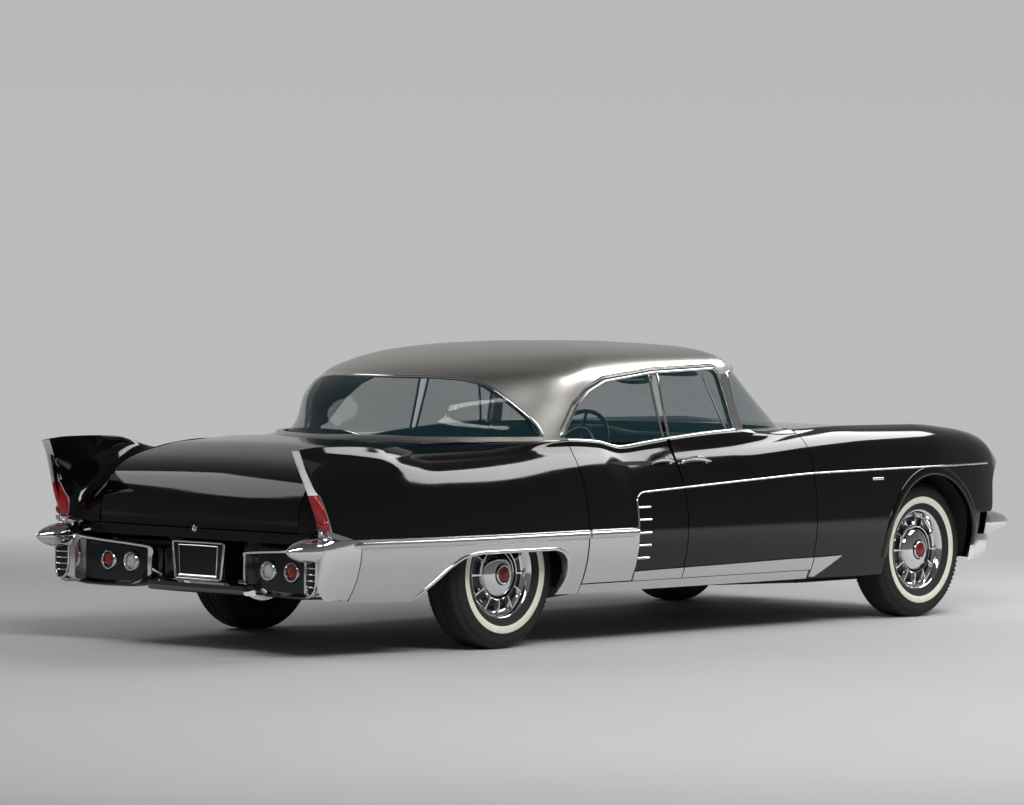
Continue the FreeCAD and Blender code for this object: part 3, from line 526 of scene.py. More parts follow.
class Mesher:
    """Gathers vertices and faces in millimetres."""

    def __init__(self) -> None:
        """Starts empty."""
        self.verts: list[Vector] = []
        self.faces: list[tuple[int, ...]] = []
        self.slots: list[int] = []

    def face(self, corners: Sequence[int], slot: int = 0) -> None:
        """Adds a face by vertex numbers."""
        self.faces.append(tuple(corners))
        self.slots.append(slot)

    def rows(
        self, rows: Sequence[Sequence[Point]], loop: bool = False, ring: bool = False,
        slot: Slot = 0,
    ) -> list[list[int]]:
        """Skins rows of points of equal length.

        Args:
            rows: the rows.
            loop: whether each row closes on itself.
            ring: whether the last row joins the first.
            slot: material slot, or a function of row and column.

        Returns:
            The vertex numbers, row by row.
        """
        numbers = []
        for row in rows:
            start = len(self.verts)
            self.verts += [Vector(p) for p in row]
            numbers.append(list(range(start, start + len(row))))
        count = len(rows[0])
        for i in range(len(rows) if ring else len(rows) - 1):
            a, b = numbers[i], numbers[(i + 1) % len(rows)]
            for j in range(count if loop else count - 1):
                k = (j + 1) % count
                self.face((a[j], a[k], b[k], b[j]), slot(i, j) if callable(slot) else slot)
        return numbers

    def loft(self, loops: Sequence[Sequence[Point]], slot: Slot = 0) -> None:
        """Skins closed loops and caps both ends.

        Args:
            loops: closed rows of points, of equal length.
            slot: material slot, or a rule that gives it from row and place.
        """
        numbers = self.rows(loops, loop=True, slot=slot)
        self.face(list(reversed(numbers[0])))
        self.face(numbers[-1])

    def revolve(
        self, centre: Point, outline: Sequence[Flat], steps: int, axis: str, slot: Slot = 0
    ) -> None:
        """Turns an outline of along, radius points about an axis through the centre.

        Args:
            centre: a point on the axis.
            outline: the points.
            steps: divisions round the axis.
            axis: X, Y or Z.
            slot: material slot, or a function of step and outline place.
        """
        order = {"X": (0, 1, 2), "Y": (1, 2, 0), "Z": (2, 0, 1)}[axis]
        rows = []
        for angle in around(steps):
            row = []
            for along, radius in outline:
                p = [0.0, 0.0, 0.0]
                p[order[0]] = along
                p[order[1]] = radius * math.cos(angle)
                p[order[2]] = radius * math.sin(angle)
                row.append(tuple(c + q for c, q in zip(centre, p)))
            rows.append(row)
        self.rows(rows, loop=True, ring=True, slot=slot)

    def sweep(
        self, path: Sequence[Point], section: Sequence[Flat], up: Sequence[Vector],
        ring: bool = False,
    ) -> None:
        """Carries a closed section along a path.

        Args:
            path: the points.
            section: across, up offsets.
            up: the outward direction at each point.
            ring: whether the path closes on itself.
        """
        loops = []
        count = len(path)
        for i, p in enumerate(path):
            before = Vector(path[(i - 1) % count] if ring else path[max(0, i - 1)])
            after = Vector(path[(i + 1) % count] if ring else path[min(count - 1, i + 1)])
            along = (after - before).normalized()
            out = (up[i] - along * up[i].dot(along)).normalized()
            across = along.cross(out)
            loops.append([tuple(Vector(p) + across * a + out * b) for a, b in section])
        numbers = self.rows(loops, loop=True, ring=ring)
        if not ring:
            self.face(list(reversed(numbers[0])))
            self.face(numbers[-1])

    def slab(self, faces: Sequence[Sequence[Point]], backs: Sequence[Sequence[Point]]) -> "Mesher":
        """Adds a closed sheet.

        Args:
            faces: its outer side, row by row.
            backs: its inner side, as many rows and points.

        Returns:
            The mesher itself.
        """
        rims = []
        for rows in (faces, backs):
            grid = self.rows(rows)
            ends = [row[-1] for row in grid[1:-1]], [row[0] for row in reversed(grid[1:-1])]
            rims.append(grid[0] + ends[0] + list(reversed(grid[-1])) + ends[1])
        front, back = rims
        for i in range(len(front)):
            j = (i + 1) % len(front)
            self.face((front[i], front[j], back[j], back[i]))
        return self

    def mirrored(self) -> "Mesher":
        """The right-hand copy.

        Returns:
            A new mesher.
        """
        other = Mesher()
        other.verts = [Vector((v.x, -v.y, v.z)) for v in self.verts]
        other.faces = [tuple(reversed(f)) for f in self.faces]
        other.slots = list(self.slots)
        return other

    def paired(self) -> "Mesher":
        """The mesher with its right-hand copy."""
        return Mesher().add(self).add(self.mirrored())

    def add(self, other: "Mesher") -> "Mesher":
        """Takes in another mesher's faces.

        Args:
            other: the mesher whose faces are taken in.

        Returns:
            The mesher itself.
        """
        start = len(self.verts)
        self.verts += other.verts
        self.faces += [tuple(i + start for i in f) for f in other.faces]
        self.slots += other.slots
        return self

    def build(
        self, name: str, finishes: Sequence[Finish], crease: float = CREASE
    ) -> bpy.types.Object:
        """Writes the mesh, in metres, and links its object.

        Args:
            name: the piece's name.
            finishes: one for each material slot.
            crease: angle in degrees past which an edge is sharp.

        Returns:
            The object.
        """
        mesh = bpy.data.meshes.new(name)
        work = bmesh.new()
        verts = [work.verts.new(v * MM) for v in self.verts]
        for corners, slot in zip(self.faces, self.slots):
            unique = list(dict.fromkeys(corners))
            if len(unique) > 2:
                try:
                    work.faces.new([verts[i] for i in unique]).material_index = slot
                except ValueError:
                    continue
        bmesh.ops.remove_doubles(work, verts=work.verts, dist=MERGE * MM)
        bmesh.ops.recalc_face_normals(work, faces=work.faces)
        smooth(work, crease)
        work.to_mesh(mesh)
        work.free()
        piece = bpy.data.objects.new(name, mesh)
        bpy.context.scene.collection.objects.link(piece)
        for finish in finishes:
            mesh.materials.append(finish.made())
        return piece


def smooth(work: bmesh.types.BMesh, crease: float) -> None:
    """Shades faces smooth, with sharp edges past the crease angle.

    Args:
        work: the mesh in work.
        crease: angle in degrees past which an edge is sharp.
    """
    for one in work.faces:
        one.smooth = True
    limit = math.radians(crease)
    for edge in work.edges:
        edge.smooth = len(edge.link_faces) == 2 and edge.calc_face_angle(0.0) < limit


def bake(piece: bpy.types.Object) -> None:
    """Turns a piece's modifiers into a plain mesh.

    Args:
        piece: the piece, which keeps its name.
    """
    view = bpy.context.evaluated_depsgraph_get()
    result = bpy.data.meshes.new_from_object(piece.evaluated_get(view))
    piece.modifiers.clear()
    old, piece.data = piece.data, result
    bpy.data.meshes.remove(old)
    result.name = piece.name


def cut(
    piece: bpy.types.Object, cutters: Iterable[Mesher], crease: float = CREASE
) -> bpy.types.Object:
    """Cuts meshers out of a piece.

    Args:
        piece: the object to cut.
        cutters: closed meshers.
        crease: angle past which the new edges are sharp.

    Returns:
        The same object.
    """
    for number, cutter in enumerate(cutters):
        tool = cutter.build("cutter_%d" % number, [])
        modifier = piece.modifiers.new("cut", "BOOLEAN")
        modifier.operation = "DIFFERENCE"
        modifier.solver = "EXACT"
        modifier.object = tool
        bake(piece)
        bpy.data.objects.remove(tool)
    work = bmesh.new()
    work.from_mesh(piece.data)
    bmesh.ops.remove_doubles(work, verts=work.verts, dist=2 * MERGE * MM)
    bmesh.ops.dissolve_degenerate(work, edges=work.edges, dist=2 * MERGE * MM)
    smooth(work, crease)
    work.to_mesh(piece.data)
    work.free()
    return piece


def prism(outline: Sequence[Flat], y0: float, y1: float) -> Mesher:
    """A side-view outline of x z points, run from y0 to y1.

    Args:
        outline: points in x and z.
        y0: where it starts.
        y1: where it ends.

    Returns:
        The mesher.
    """
    made = Mesher()
    made.loft([[(x, y, z) for x, z in outline] for y in (y0, y1)])
    return made


def block(x0: float, x1: float, y0: float, y1: float, z0: float, z1: float) -> Mesher:
    """A box between its limits.

    Args:
        x0: rear limit.
        x1: front limit.
        y0: right limit.
        y1: left limit.
        z0: lower limit.
        z1: upper limit.

    Returns:
        The mesher.
    """
    made = Mesher()
    made.loft([[(x, y0, z0), (x, y1, z0), (x, y1, z1), (x, y0, z1)] for x in (x0, x1)])
    return made


def settle(
    piece: bpy.types.Object, body: str, replaced: Sequence[str] = ()
) -> bpy.types.Object:
    """Gives a finished piece to its body.

    Args:
        piece: the object.
        body: the body it moves with.
        replaced: the nodes it stands for.

    Returns:
        The object.
    """
    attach(piece, body)
    if replaced:
        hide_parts(*replaced)
    log.info("%s: %d faces on %s", piece.name, len(piece.data.polygons), body)
    return piece


# ================================================================ curves
def slopes(xs: Sequence[float], ys: Sequence[float]) -> list[float]:
    """Monotone cubic slopes through the points.

    Args:
        xs: places, rising.
        ys: values at the places.

    Returns:
        The slope at each place.
    """
    step = [(ys[i + 1] - ys[i]) / (xs[i + 1] - xs[i]) for i in range(len(xs) - 1)]
    out = [step[0]]
    for i in range(1, len(xs) - 1):
        a, b = step[i - 1], step[i]
        if a * b <= 0:
            out.append(0.0)
            continue
        ha, hb = xs[i] - xs[i - 1], xs[i + 1] - xs[i]
        wa, wb = 2 * hb + ha, hb + 2 * ha
        out.append((wa + wb) / (wa / a + wb / b))
    return out + [step[-1]]


class Spline:
    """Monotone cubic through a table of rows, the first column being the place."""

    def __init__(self, table: Sequence[Sequence[float]]) -> None:
        """Works out the slopes of every column.

        Args:
            table: rows of a place and its values, by rising place.
        """
        self.xs = [float(row[0]) for row in table]
        self.columns = [[float(row[c]) for row in table] for c in range(1, len(table[0]))]
        self.slopes = [slopes(self.xs, ys) for ys in self.columns]

    def at(self, x: float) -> list[float]:
        """The row at x.

        Args:
            x: the place; past the ends, the end piece runs on.

        Returns:
            The values there.
        """
        i = max(0, min(len(self.xs) - 2, sum(1 for v in self.xs if v <= x) - 1))
        h = self.xs[i + 1] - self.xs[i]
        t = (x - self.xs[i]) / h
        a, b, c, d = (
            (1 + 2 * t) * (1 - t) ** 2, h * t * (1 - t) ** 2, t * t * (3 - 2 * t),
            h * t * t * (t - 1),
        )
        return [
            a * ys[i] + b * m[i] + c * ys[i + 1] + d * m[i + 1]
            for ys, m in zip(self.columns, self.slopes)
        ]


def turned(p: Flat, tangent: Flat, q: Flat, steps: int) -> tuple[list[Flat], Flat]:
    """The arc that leaves p along tangent and ends at q.

    Args:
        p: start.
        tangent: unit direction at the start.
        q: end.
        steps: how many points after p.

    Returns:
        The points after p, and the direction at q.
    """
    cx, cy = q[0] - p[0], q[1] - p[1]
    chord = math.hypot(cx, cy)
    ux, uy = cx / chord, cy / chord
    along, across = tangent[0] * ux + tangent[1] * uy, ux * tangent[1] - uy * tangent[0]
    half = math.atan2(across, along)
    end = (2 * along * ux - tangent[0], 2 * along * uy - tangent[1])
    points = []
    for i in range(1, steps + 1):
        t = i / steps
        if abs(half) < 1e-4:
            points.append((p[0] + cx * t, p[1] + cy * t))
            continue
        reach = chord * math.sin(half * t) / math.sin(half)
        lean = half * (1 - t)
        points.append(
            (
                p[0] + reach * (ux * math.cos(lean) - uy * math.sin(lean)),
                p[1] + reach * (uy * math.cos(lean) + ux * math.sin(lean)),
            )
        )
    return points, end


def hermite(p: Flat, tp: Flat, q: Flat, tq: Flat, steps: int) -> list[Flat]:
    """Cubic points after p, with unit end directions scaled to the chord.

    Args:
        p: start.
        tp: direction at the start.
        q: end.
        tq: direction at the end.
        steps: number of points.

    Returns:
        The points, with q as the last.
    """
    chord = math.hypot(q[0] - p[0], q[1] - p[1])
    points = []
    for i in range(1, steps + 1):
        t = i / steps
        a, b, c, d = (
            (1 + 2 * t) * (1 - t) ** 2, t * (1 - t) ** 2, t * t * (3 - 2 * t), t * t * (t - 1)
        )
        points.append(
            tuple(a * p[k] + b * chord * tp[k] + c * q[k] + d * chord * tq[k] for k in (0, 1))
        )
    return points


def unit(x: float, y: float) -> Flat:
    """A direction of length 1."""
    size = math.hypot(x, y)
    return x / size, y / size


def span(start: float, end: float, pitch: float) -> list[float]:
    """Even places from start to end, about a pitch apart."""
    count = max(1, round(abs(end - start) / pitch))
    return [start + (end - start) * i / count for i in range(count + 1)]


# ================================================================ repeats
class Repeat:
    """Copies a small mesh along a line, round an axis or both, with Geometry Nodes."""

    def __init__(self, finish: Finish) -> None:
        """Builds the node tree for one finish.

        Args:
            finish: the finish of every copy.
        """
        self.tree = bpy.data.node_groups.new("repeat_" + finish.value.name, "GeometryNodeTree")
        face = self.tree.interface
        face.new_socket("Geometry", in_out="OUTPUT", socket_type="NodeSocketGeometry")
        face.new_socket("Geometry", in_out="INPUT", socket_type="NodeSocketGeometry")
        self.names = {}
        for name, kind in (
            ("Count", "NodeSocketInt"), ("Start", "NodeSocketVector"), ("Step", "NodeSocketVector"),
            ("Turn", "NodeSocketVector"),
        ):
            self.names[name] = face.new_socket(name, in_out="INPUT", socket_type=kind).identifier
        nodes, links = self.tree.nodes, self.tree.links
        given, out = nodes.new("NodeGroupInput"), nodes.new("NodeGroupOutput")
        line = nodes.new("GeometryNodeMeshLine")
        line.mode = "OFFSET"
        index = nodes.new("GeometryNodeInputIndex")
        turn = nodes.new("ShaderNodeVectorMath")
        turn.operation = "SCALE"
        instances = nodes.new("GeometryNodeInstanceOnPoints")
        real = nodes.new("GeometryNodeRealizeInstances")
        dress = nodes.new("GeometryNodeSetMaterial")
        dress.inputs["Material"].default_value = finish.made()
        for a, b in (
            (given.outputs["Count"], line.inputs["Count"]),
            (given.outputs["Start"], line.inputs["Start Location"]),
            (given.outputs["Step"], line.inputs["Offset"]), (given.outputs["Turn"], turn.inputs[0]),
            (index.outputs[0], turn.inputs["Scale"]), (line.outputs[0], instances.inputs["Points"]),
            (given.outputs["Geometry"], instances.inputs["Instance"]),
            (turn.outputs[0], instances.inputs["Rotation"]),
            (instances.outputs[0], real.inputs[0]), (real.outputs[0], dress.inputs[0]),
            (dress.outputs[0], out.inputs[0]),
        ):
            links.new(a, b)
        self.finish = finish

    def make(
        self, name: str, seed: Mesher, count: int, start: Point, step: Point = (0, 0, 0),
        turn: Point = (0, 0, 0),
    ) -> bpy.types.Object:
        """Makes the copies as one plain mesh.

        Args:
            name: the piece's name.
            seed: the mesh to copy, about its own origin.
            count: how many.
            start: place of the first, in millimetres.
            step: offset to the next, in millimetres.
            turn: turn to the next, in radians about each axis.

        Returns:
            The finished piece.
        """
        piece = seed.build(name, [self.finish])
        modifier = piece.modifiers.new("repeat", "NODES")
        modifier.node_group = self.tree
        values = {
            "Count": count, "Start": [v * MM for v in start], "Step": [v * MM for v in step],
            "Turn": list(turn),
        }
        for key, value in values.items():
            modifier[self.names[key]] = value
        piece.update_tag()
        bake(piece)
        return piece


# ================================================================ wheels
@dataclass
class RoadWheel:
    """Tyre with its pale wall band, and the finned pressed wheel with its dome."""

    x: float
    label: str
    side: int
    centre_y: float = 775.0
    fins: int = 12
    lugs: int = 84
    # the pale band's inner and outer radius
    band: tuple = (240.0, 273.0)
    # offset outboard and radius
    rim: tuple = (
        (-80, 205), (-79, 181), (-60, 176), (30, 176), (40, 180), (56, 187), (66, 192), (74, 197),
        (79, 202), (80, 206), (76, 208), (72, 206), (66, 199), (-66, 199), (-72, 206),
    )
    dish: tuple = (
        (34, 184), (44, 183), (50, 178), (44, 170), (42, 150), (44, 132), (50, 124), (64, 121),
        (68, 118), (66, 114), (58, 112), (50, 110), (34, 90), (28, 100), (28, 176),
    )
    dome: tuple = (
        (30, 110), (54, 110), (60, 107), (67, 101), (74, 90), (80, 76), (84, 62), (86, 52),
        (86.5, 47), (90, 46), (94, 44), (96, 41), (95, 38), (94, 34), (96.5, 22), (98, 10),
        (98.6, HAIR), (30, HAIR),
    )
    hub: tuple = ((-62, 25.2), (-62, 70), (30, 70), (30, 25.2))
    lug: tuple = ((60, 336), (97, 316), (99, 322), (62, 343))

    def spot(self) -> Point:
        """The wheel's centre."""
        return (self.x, self.side * self.centre_y, AXLE_Z)

    def turned_piece(self, outline: Sequence[Flat], steps: int, slot: Slot = 0) -> Mesher:
        """An outline of outboard offset and radius, turned about the axle.

        Args:
            outline: points of outboard offset and radius.
            steps: number of steps round.
            slot: material slot, or a function of step and outline place.

        Returns:
            The mesher, in the car's frame.
        """
        made = Mesher()
        made.revolve(self.spot(), [(a * self.side, r) for a, r in outline], steps, "Y", slot)
        return made

    def tyre(self) -> None:
        """Makes the tyre with its grooved tread and wall band."""
        low, high = self.band
        wall = [
            (60, 200), (72, 203), (82, 212), (91, 226), (96, low - 1.5), (98, low), (101, 256),
            (102, high), (101, high + 1.5), (100, 296), (95, 314), (88, 329), (78, 340),
        ]
        tread = [(72, 343)]
        for edge in (64, 38, 12):
            tread += [(edge, 345.5), (edge - 3, 338), (edge - 7, 338), (edge - 10, 345.8)]
        half = wall + tread
        outline = half + [(-a, r) for a, r in reversed(half)]
        first, last = wall.index((98, low)), wall.index((102, high))
        made = self.turned_piece(outline, 80, lambda i, j: 1 if first <= j < last else 0)
        piece = made.build("tyre_" + self.label, [Finish.TYRE, Finish.WHITE_WALL], 50)
        settle(piece, self.body(), ["tyre_" + self.label])
        lug = Mesher()
        for side in SIDES:
            lug.loft([[(x, side * y, z) for y, z in self.lug] for x in (-5, 5)])
        turn = (0, 2 * math.pi / self.lugs, 0)
        blocks = Repeat(Finish.TYRE).make(
            "tread_blocks_" + self.label, lug, self.lugs, self.spot(), turn=turn
        )
        settle(blocks, self.body(), [])

    def body(self) -> str:
        """The body that the wheel turns with."""
        end, side = self.label.split("_")
        return "%s_wheel_%s" % (end, side)

    def metal(self) -> None:
        """Makes the rim, dish, dome and fins."""
        made = self.turned_piece(self.rim, 72)
        # slot 1 is near-black plating painted as the shade in the dish's pockets, the dome's
        # grooves and the hub
        made.add(
            self.turned_piece(self.dish, 72, lambda i, j: 1 if 3 <= j <= 5 or 9 <= j <= 11 else 0)
        )
        made.add(
            self.turned_piece(
                self.dome, 60, lambda i, j: 2 if 13 <= j <= 15 else (1 if j in (7, 8, 12) else 0)
            )
        )
        made.add(self.turned_piece(self.hub, 40, 1))
        piece = made.build(
            "wheel_" + self.label, [Finish.CHROME, Finish.PAINTED_SHADE_PLATE, Finish.HUB_RED], 40
        )
        settle(piece, self.body(), ["wheel_" + self.label])
        blade = Mesher()
        s = self.side
        blade.loft([
            [(-12, s * 40, 181), (12, s * 40, 181), (5, s * 62, 182), (-5, s * 62, 182)],
            [(-8, s * 40, 152), (8, s * 40, 152), (3, s * 66, 152), (-3, s * 66, 152)],
            [(-6, s * 42, 122), (6, s * 42, 122), (2.5, s * 67, 120), (-2.5, s * 67, 120)],
        ])
        turn = (0, 2 * math.pi / self.fins, 0)
        fins = Repeat(Finish.CHROME).make(
            "wheel_fins_" + self.label, blade, self.fins, self.spot(), turn=turn
        )
        settle(fins, self.body(), [])

    def build(self) -> None:
        """Makes the whole wheel."""
        self.tyre()
        self.metal()


# ================================================================ body surface
@dataclass
class BodyForm:
    """The left body side as one smooth surface, from the sill up over the fin to the deck.

    Rows run from the nose backwards. Each gives seven points of the section: sill, widest,
    shoulder, crown, inner crown, valley and seam. Behind the tail's first row the points no
    longer share one x.
    """

    # x, sill y z, widest y z, shoulder y z, crown y z, inner crown y z, valley y z, seam y z
    sides: tuple = (
        (2556, 810, 360, 850, 570, 820, 775, 735, 862, 722, 864, 705, 858, 694, 850),
        (2430, 850, 330, 900, 560, 872, 805, 765, 922, 745, 925, 710, 915, 696, 905),
        (2200, 880, 300, 938, 550, 905, 835, 785, 960, 762, 962, 715, 950, 696, 940),
        (1828, 900, 260, 965, 540, 930, 850, 800, 985, 775, 988, 722, 972, 696, 960),
        (1300, 908, 236, 972, 530, 934, 852, 805, 985, 780, 990, 725, 975, 696, 962),
        (830, 912, 240, 978, 525, 930, 848, 840, 955, 805, 978, 740, 980, 700, 968),
        (500, 912, 240, 981, 525, 926, 836, 868, 918, 846, 955, 812, 985, 790, 984),
        (250, 912, 240, 983, 525, 922, 822, 876, 900, 857, 940, 836, 978, 815, 980),
        (-150, 912, 240, 984, 525, 922, 802, 880, 880, 860, 917, 843, 952, 820, 954),
        (-330, 912, 240, 984, 525, 922, 788, 882, 866, 862, 902, 842, 936, 820, 938),
        (-533, 912, 240, 984, 525, 922, 784, 882, 856, 862, 886, 842, 918, 820, 920),
        (-700, 912, 240, 985, 525, 918, 816, 874, 890, 857, 915, 842, 945, 820, 947),
        (-905, 912, 240, 986, 525, 917, 824, 872, 897, 856, 925, 842, 955, 820, 957),
        (-1372, 905, 245, 990, 522, 913, 818, 866, 882, 848, 897, 790, 930, 700, 946),
        (-1850, 885, 248, 977, 520, 905, 814, 858, 872, 840, 882, 740, 918, 648, 938),
        (-2050, 868, 250, 960, 520, 898, 808, 846, 903, 828, 905, 740, 880, 648, 920),
        (-2220, 850, 254, 938, 520, 886, 792, 838, 945, 820, 945, 735, 812, 648, 885),
        (-2350, 830, 258, 920, 520, 876, 775, 834, 951, 817, 951, 742, 750, 648, 835),
    )
    # place, then x y z of widest, shoulder, crown, inner crown, valley and seam
    tail: tuple = (
        (
            -2440, (-2440, 905, 520), (-2440, 868, 760), (-2440, 831, 952), (-2440, 815, 952),
            (-2435, 745, 700), (-2430, 648, 775),
        ),
        (
            -2500, (-2500, 893, 520), (-2510, 858, 745), (-2560, 828, 951), (-2560, 814, 951),
            (-2480, 752, 650), (-2472, 648, 712),
        ),
        (
            -2550, (-2520, 886, 520), (-2548, 846, 742), (-2640, 826, 945), (-2640, 813, 945),
            (-2500, 762, 600), (-2494, 648, 645),
        ),
        (
            -2600, (-2531, 880, 541), (-2578, 832, 744), (-2708, 824, 937), (-2708, 811, 937),
            (-2512, 775, 560), (-2503, 648, 563),
        ),
    )
    split_z: float = 541.0
    fin_start: float = -1960.0      # where the bevel on the fin's top edge sets in
    bevel_depth: float = 44.0

    def __post_init__(self) -> None:
        """Joins both tables into one spline over the place along the car."""
        table = []
        for x, *flat in self.sides:
            row = [-x]
            for y, z in zip(flat[0::2], flat[1::2]):
                row += [x, y, z]
            table.append(row)
        for x, *points in self.tail:
            widest = points[0]
            table.append(
                [-x, widest[0], widest[1] - 90, 262.0]
                + [value for point in points for value in point]
            )
        self.spline = Spline(table)

    def keys(self, x: float) -> list[Point]:
        """The seven points of the section at x."""
        row = self.spline.at(-x)
        return [tuple(row[i:i + 3]) for i in range(0, 21, 3)]

    def section(self, x: float) -> list[Point]:
        """The outer surface at x, from the sill to the seam.

        Args:
            x: place along the car.

        Returns:
            The points, always the same count.
        """
        keys = self.keys(x)
        flat = [(y, z) for _, y, z in keys]
        sill, widest, shoulder, crown, inner, valley, seam = flat
        counts = (8, 10, 9, 3, 10, 3)
        low, _ = turned(widest, (0, -1), sill, counts[0])
        side, leaving = turned(widest, (0, 1), shoulder, counts[1])
        upper, over = turned(shoulder, leaving, crown, counts[2])
        lean = math.radians(180 + 90 * math.tanh((inner[1] - valley[1]) / 45))
        down = (math.cos(lean), math.sin(lean))
        top = hermite(crown, over, inner, down, counts[3])
        rise = max(0.0, min(1.0, (self.fin_start - x) / 240))
        if rise:
            ridge = crown[0] - inner[0]
            upper = [(y + rise * self.bevel(crown[1] - z, ridge), z) for y, z in upper]
            lean_in = rise * 0.75 * ridge
            top = [(y - lean_in * (1 - (i + 1) / len(top)) ** 2, z) for i, (y, z) in enumerate(top)]
        away = unit(seam[0] - valley[0], seam[1] - valley[1])
        hollow = hermite(inner, down, valley, away, counts[4])
        deck = [
            tuple(a + (b - a) * i / counts[5] for a, b in zip(valley, seam))
            for i in range(1, counts[5] + 1)
        ]
        spans = [list(reversed(low[:-1])) + [widest], side, upper, top, hollow, deck]
        points = [(keys[0][0], *sill)]
        for start, end, run in zip(keys, keys[1:], spans):
            for i, (y, z) in enumerate(run):
                share = (i + 1) / len(run)
                points.append((start[0] + (end[0] - start[0]) * share, y, z))
        return points

    def bevel(self, depth: float, ridge: float) -> float:
        """Outward shift that bevels the fin's top edge.

        Args:
            depth: depth below the crown.
            ridge: width of the fin's ridge.

        Returns:
            The shift.
        """
        if depth < self.bevel_depth:
            return (5 + 0.75 * ridge) * depth / self.bevel_depth - 0.75 * ridge
        return max(0.0, 5 * (1 - (depth - self.bevel_depth) / 46))

    def shell(self, x0: float, x1: float, wall: float, belt: bool, pitch: float = 22.0) -> Mesher:
        """A closed slab of the body side between two places.

        Args:
            x0: rear end.
            x1: front end.
            wall: thickness.
            belt: whether the wall is carried up to the belt, as in a door.
            pitch: spacing of the sections.

        Returns:
            The slab's mesher.
        """
        loops = []
        for x in span(x0, x1, pitch):
            keys = self.keys(x)
            (sx, ys, zs), (wx, ym, zm), (bx, yb, zb), (vx, yv, zv), (dx, yd, zd) = (
                keys[2], keys[1], keys[0], keys[5], keys[6]
            )
            outer = self.section(x)
            if belt:
                back = [
                    (vx, yv - 42, zv), (sx, ys - wall, zs), (wx, ym - wall, zm),
                    (bx, yb - wall + 20, zb),
                ]
                outer = outer[:-3]
            else:
                root = min(zs, zv - wall) - 20
                back = [
                    (dx, yd, zd - wall), (vx, yv + 4, zv - wall - 8), (sx, ys - wall - 10, root),
                    (wx, ym - wall, zm), (bx, yb - wall, zb),
                ]
            loops.append(outer + back)
        made = Mesher()
        made.loft(loops)
        return made

    def upper(self, x0: float, x1: float, wall: float = 28.0, pitch: float = 16.0) -> Mesher:
        """The painted quarter above the steel, with its fin, as a closed slab.

        Args:
            x0: rear end.
            x1: front end.
            wall: how thick it is.
            pitch: spacing of the sections.

        Returns:
            The mesher.
        """
        loops = []
        for x in span(x0, x1, pitch):
            keys = self.keys(x)
            (sx, ys, _), (wx, _, _), (vx, yv, zv), (dx, yd, zd) = keys[2], keys[1], keys[5], keys[6]
            foot = self.split_z
            section = self.section(x)
            edge = self.side_y(section, foot)
            outer = [p if p[2] > foot else (p[0], edge, foot) for p in section[8:]]
            back = [
                (dx, yd, max(zd - wall, foot + 1)), (vx, yv - 8, max(zv - wall, foot + 2)),
                (sx + 20, ys - wall - 14, foot + 40), (wx, edge - wall, foot),
            ]
            loops.append(outer + back)
        made = Mesher()
        made.loft(loops)
        return made

    @staticmethod
    def side_y(points: Sequence[Point], z: float) -> float:
        """The side's y at a height of one section."""
        for (_, y0, z0), (_, y1, z1) in zip(points, points[1:]):
            if z0 <= z <= z1:
                return y0 + (y1 - y0) * (z - z0) / max(1e-6, z1 - z0)
        return points[8][1]

    def lines(self, x: float) -> list[Flat]:
        """The side's y at each z, from the sill to the crown."""
        return [(z, y) for _, y, z in self.section(x)[:28]]

    def at(self, x: float, z: float, lift: float = 0.0) -> Point:
        """The point of the side at x and z, lifted off the surface along its normal.

        Args:
            x: place along the car.
            z: height.
            lift: distance off the surface.

        Returns:
            The point.
        """
        def depth(px: float, pz: float) -> float:
            """The surface's y at a place and height."""
            points = self.lines(px)
            for (z0, y0), (z1, y1) in zip(points, points[1:]):
                if z1 >= pz:
                    return y0 + (y1 - y0) * (pz - z0) / max(1e-6, z1 - z0)
            return points[-1][1]
        y = depth(x, z)
        if not lift:
            return (x, y, z)
        normal = self.normal(x, z, depth)
        return tuple(c + n * lift for c, n in zip((x, y, z), normal))

    def normal(
        self, x: float, z: float, depth: Optional[Callable[[float, float], float]] = None
    ) -> Vector:
        """Outward direction of the side at x and z.

        Args:
            x: place along the car.
            z: height.
            depth: gives the surface's y at x and z.

        Returns:
            The unit direction.
        """
        depth = depth or (lambda px, pz: self.at(px, pz)[1])
        slope_x = (depth(x + 5, z) - depth(x - 5, z)) / 10
        slope_z = (depth(x, z + 5) - depth(x, z - 5)) / 10
        return Vector((-slope_x, 1, -slope_z)).normalized()

    def strip(self, path: Sequence[Flat], section: Sequence[Flat]) -> Mesher:
        """A moulding carried along x z points on the side.

        Args:
            path: points in x and z.
            section: closed section across and outward.

        Returns:
            The mesher.
        """
        made = Mesher()
        outward = [self.normal(x, z) for x, z in path]
        made.sweep([self.at(x, z) for x, z in path], section, outward)
        return made

    def patch(self, rows: Sequence[Sequence[Flat]], lift: float, depth: float) -> Mesher:
        """A closed sheet laid on the side through rows of x z points.

        Args:
            rows: the points, row by row.
            lift: how far its face stands off.
            depth: its thickness.

        Returns:
            The sheet's mesher.
        """
        faces, backs = (
            [[self.at(x, z, off) for x, z in row] for row in rows] for off in (lift, lift - depth)
        )
        return Mesher().slab(faces, backs)


def eased(points: Sequence[Sequence[float]], pitch: float) -> list[tuple[float, ...]]:
    """A smooth line through points, evenly divided.

    Args:
        points: points the line runs through.
        pitch: spacing of the new points.

    Returns:
        The new points.
    """
    table, run = [(0.0, *points[0])], 0.0
    for a, b in zip(points, points[1:]):
        run += math.dist(a, b)
        table.append((run, *b))
    line = Spline(table)
    return [tuple(line.at(place)) for place in span(0, run, pitch)]


def divided(corners: Sequence[Flat], places: Sequence[float]) -> list[Flat]:
    """Points at the same shares of every side of a closed outline.

    Args:
        corners: the outline's corners.
        places: shares of each side.

    Returns:
        The points, side by side.
    """
    ring = []
    for (ay, az), (by, bz) in zip(corners, corners[1:] + corners[:1]):
        ring += [(ay + (by - ay) * t, az + (bz - az) * t) for t in places]
    return ring


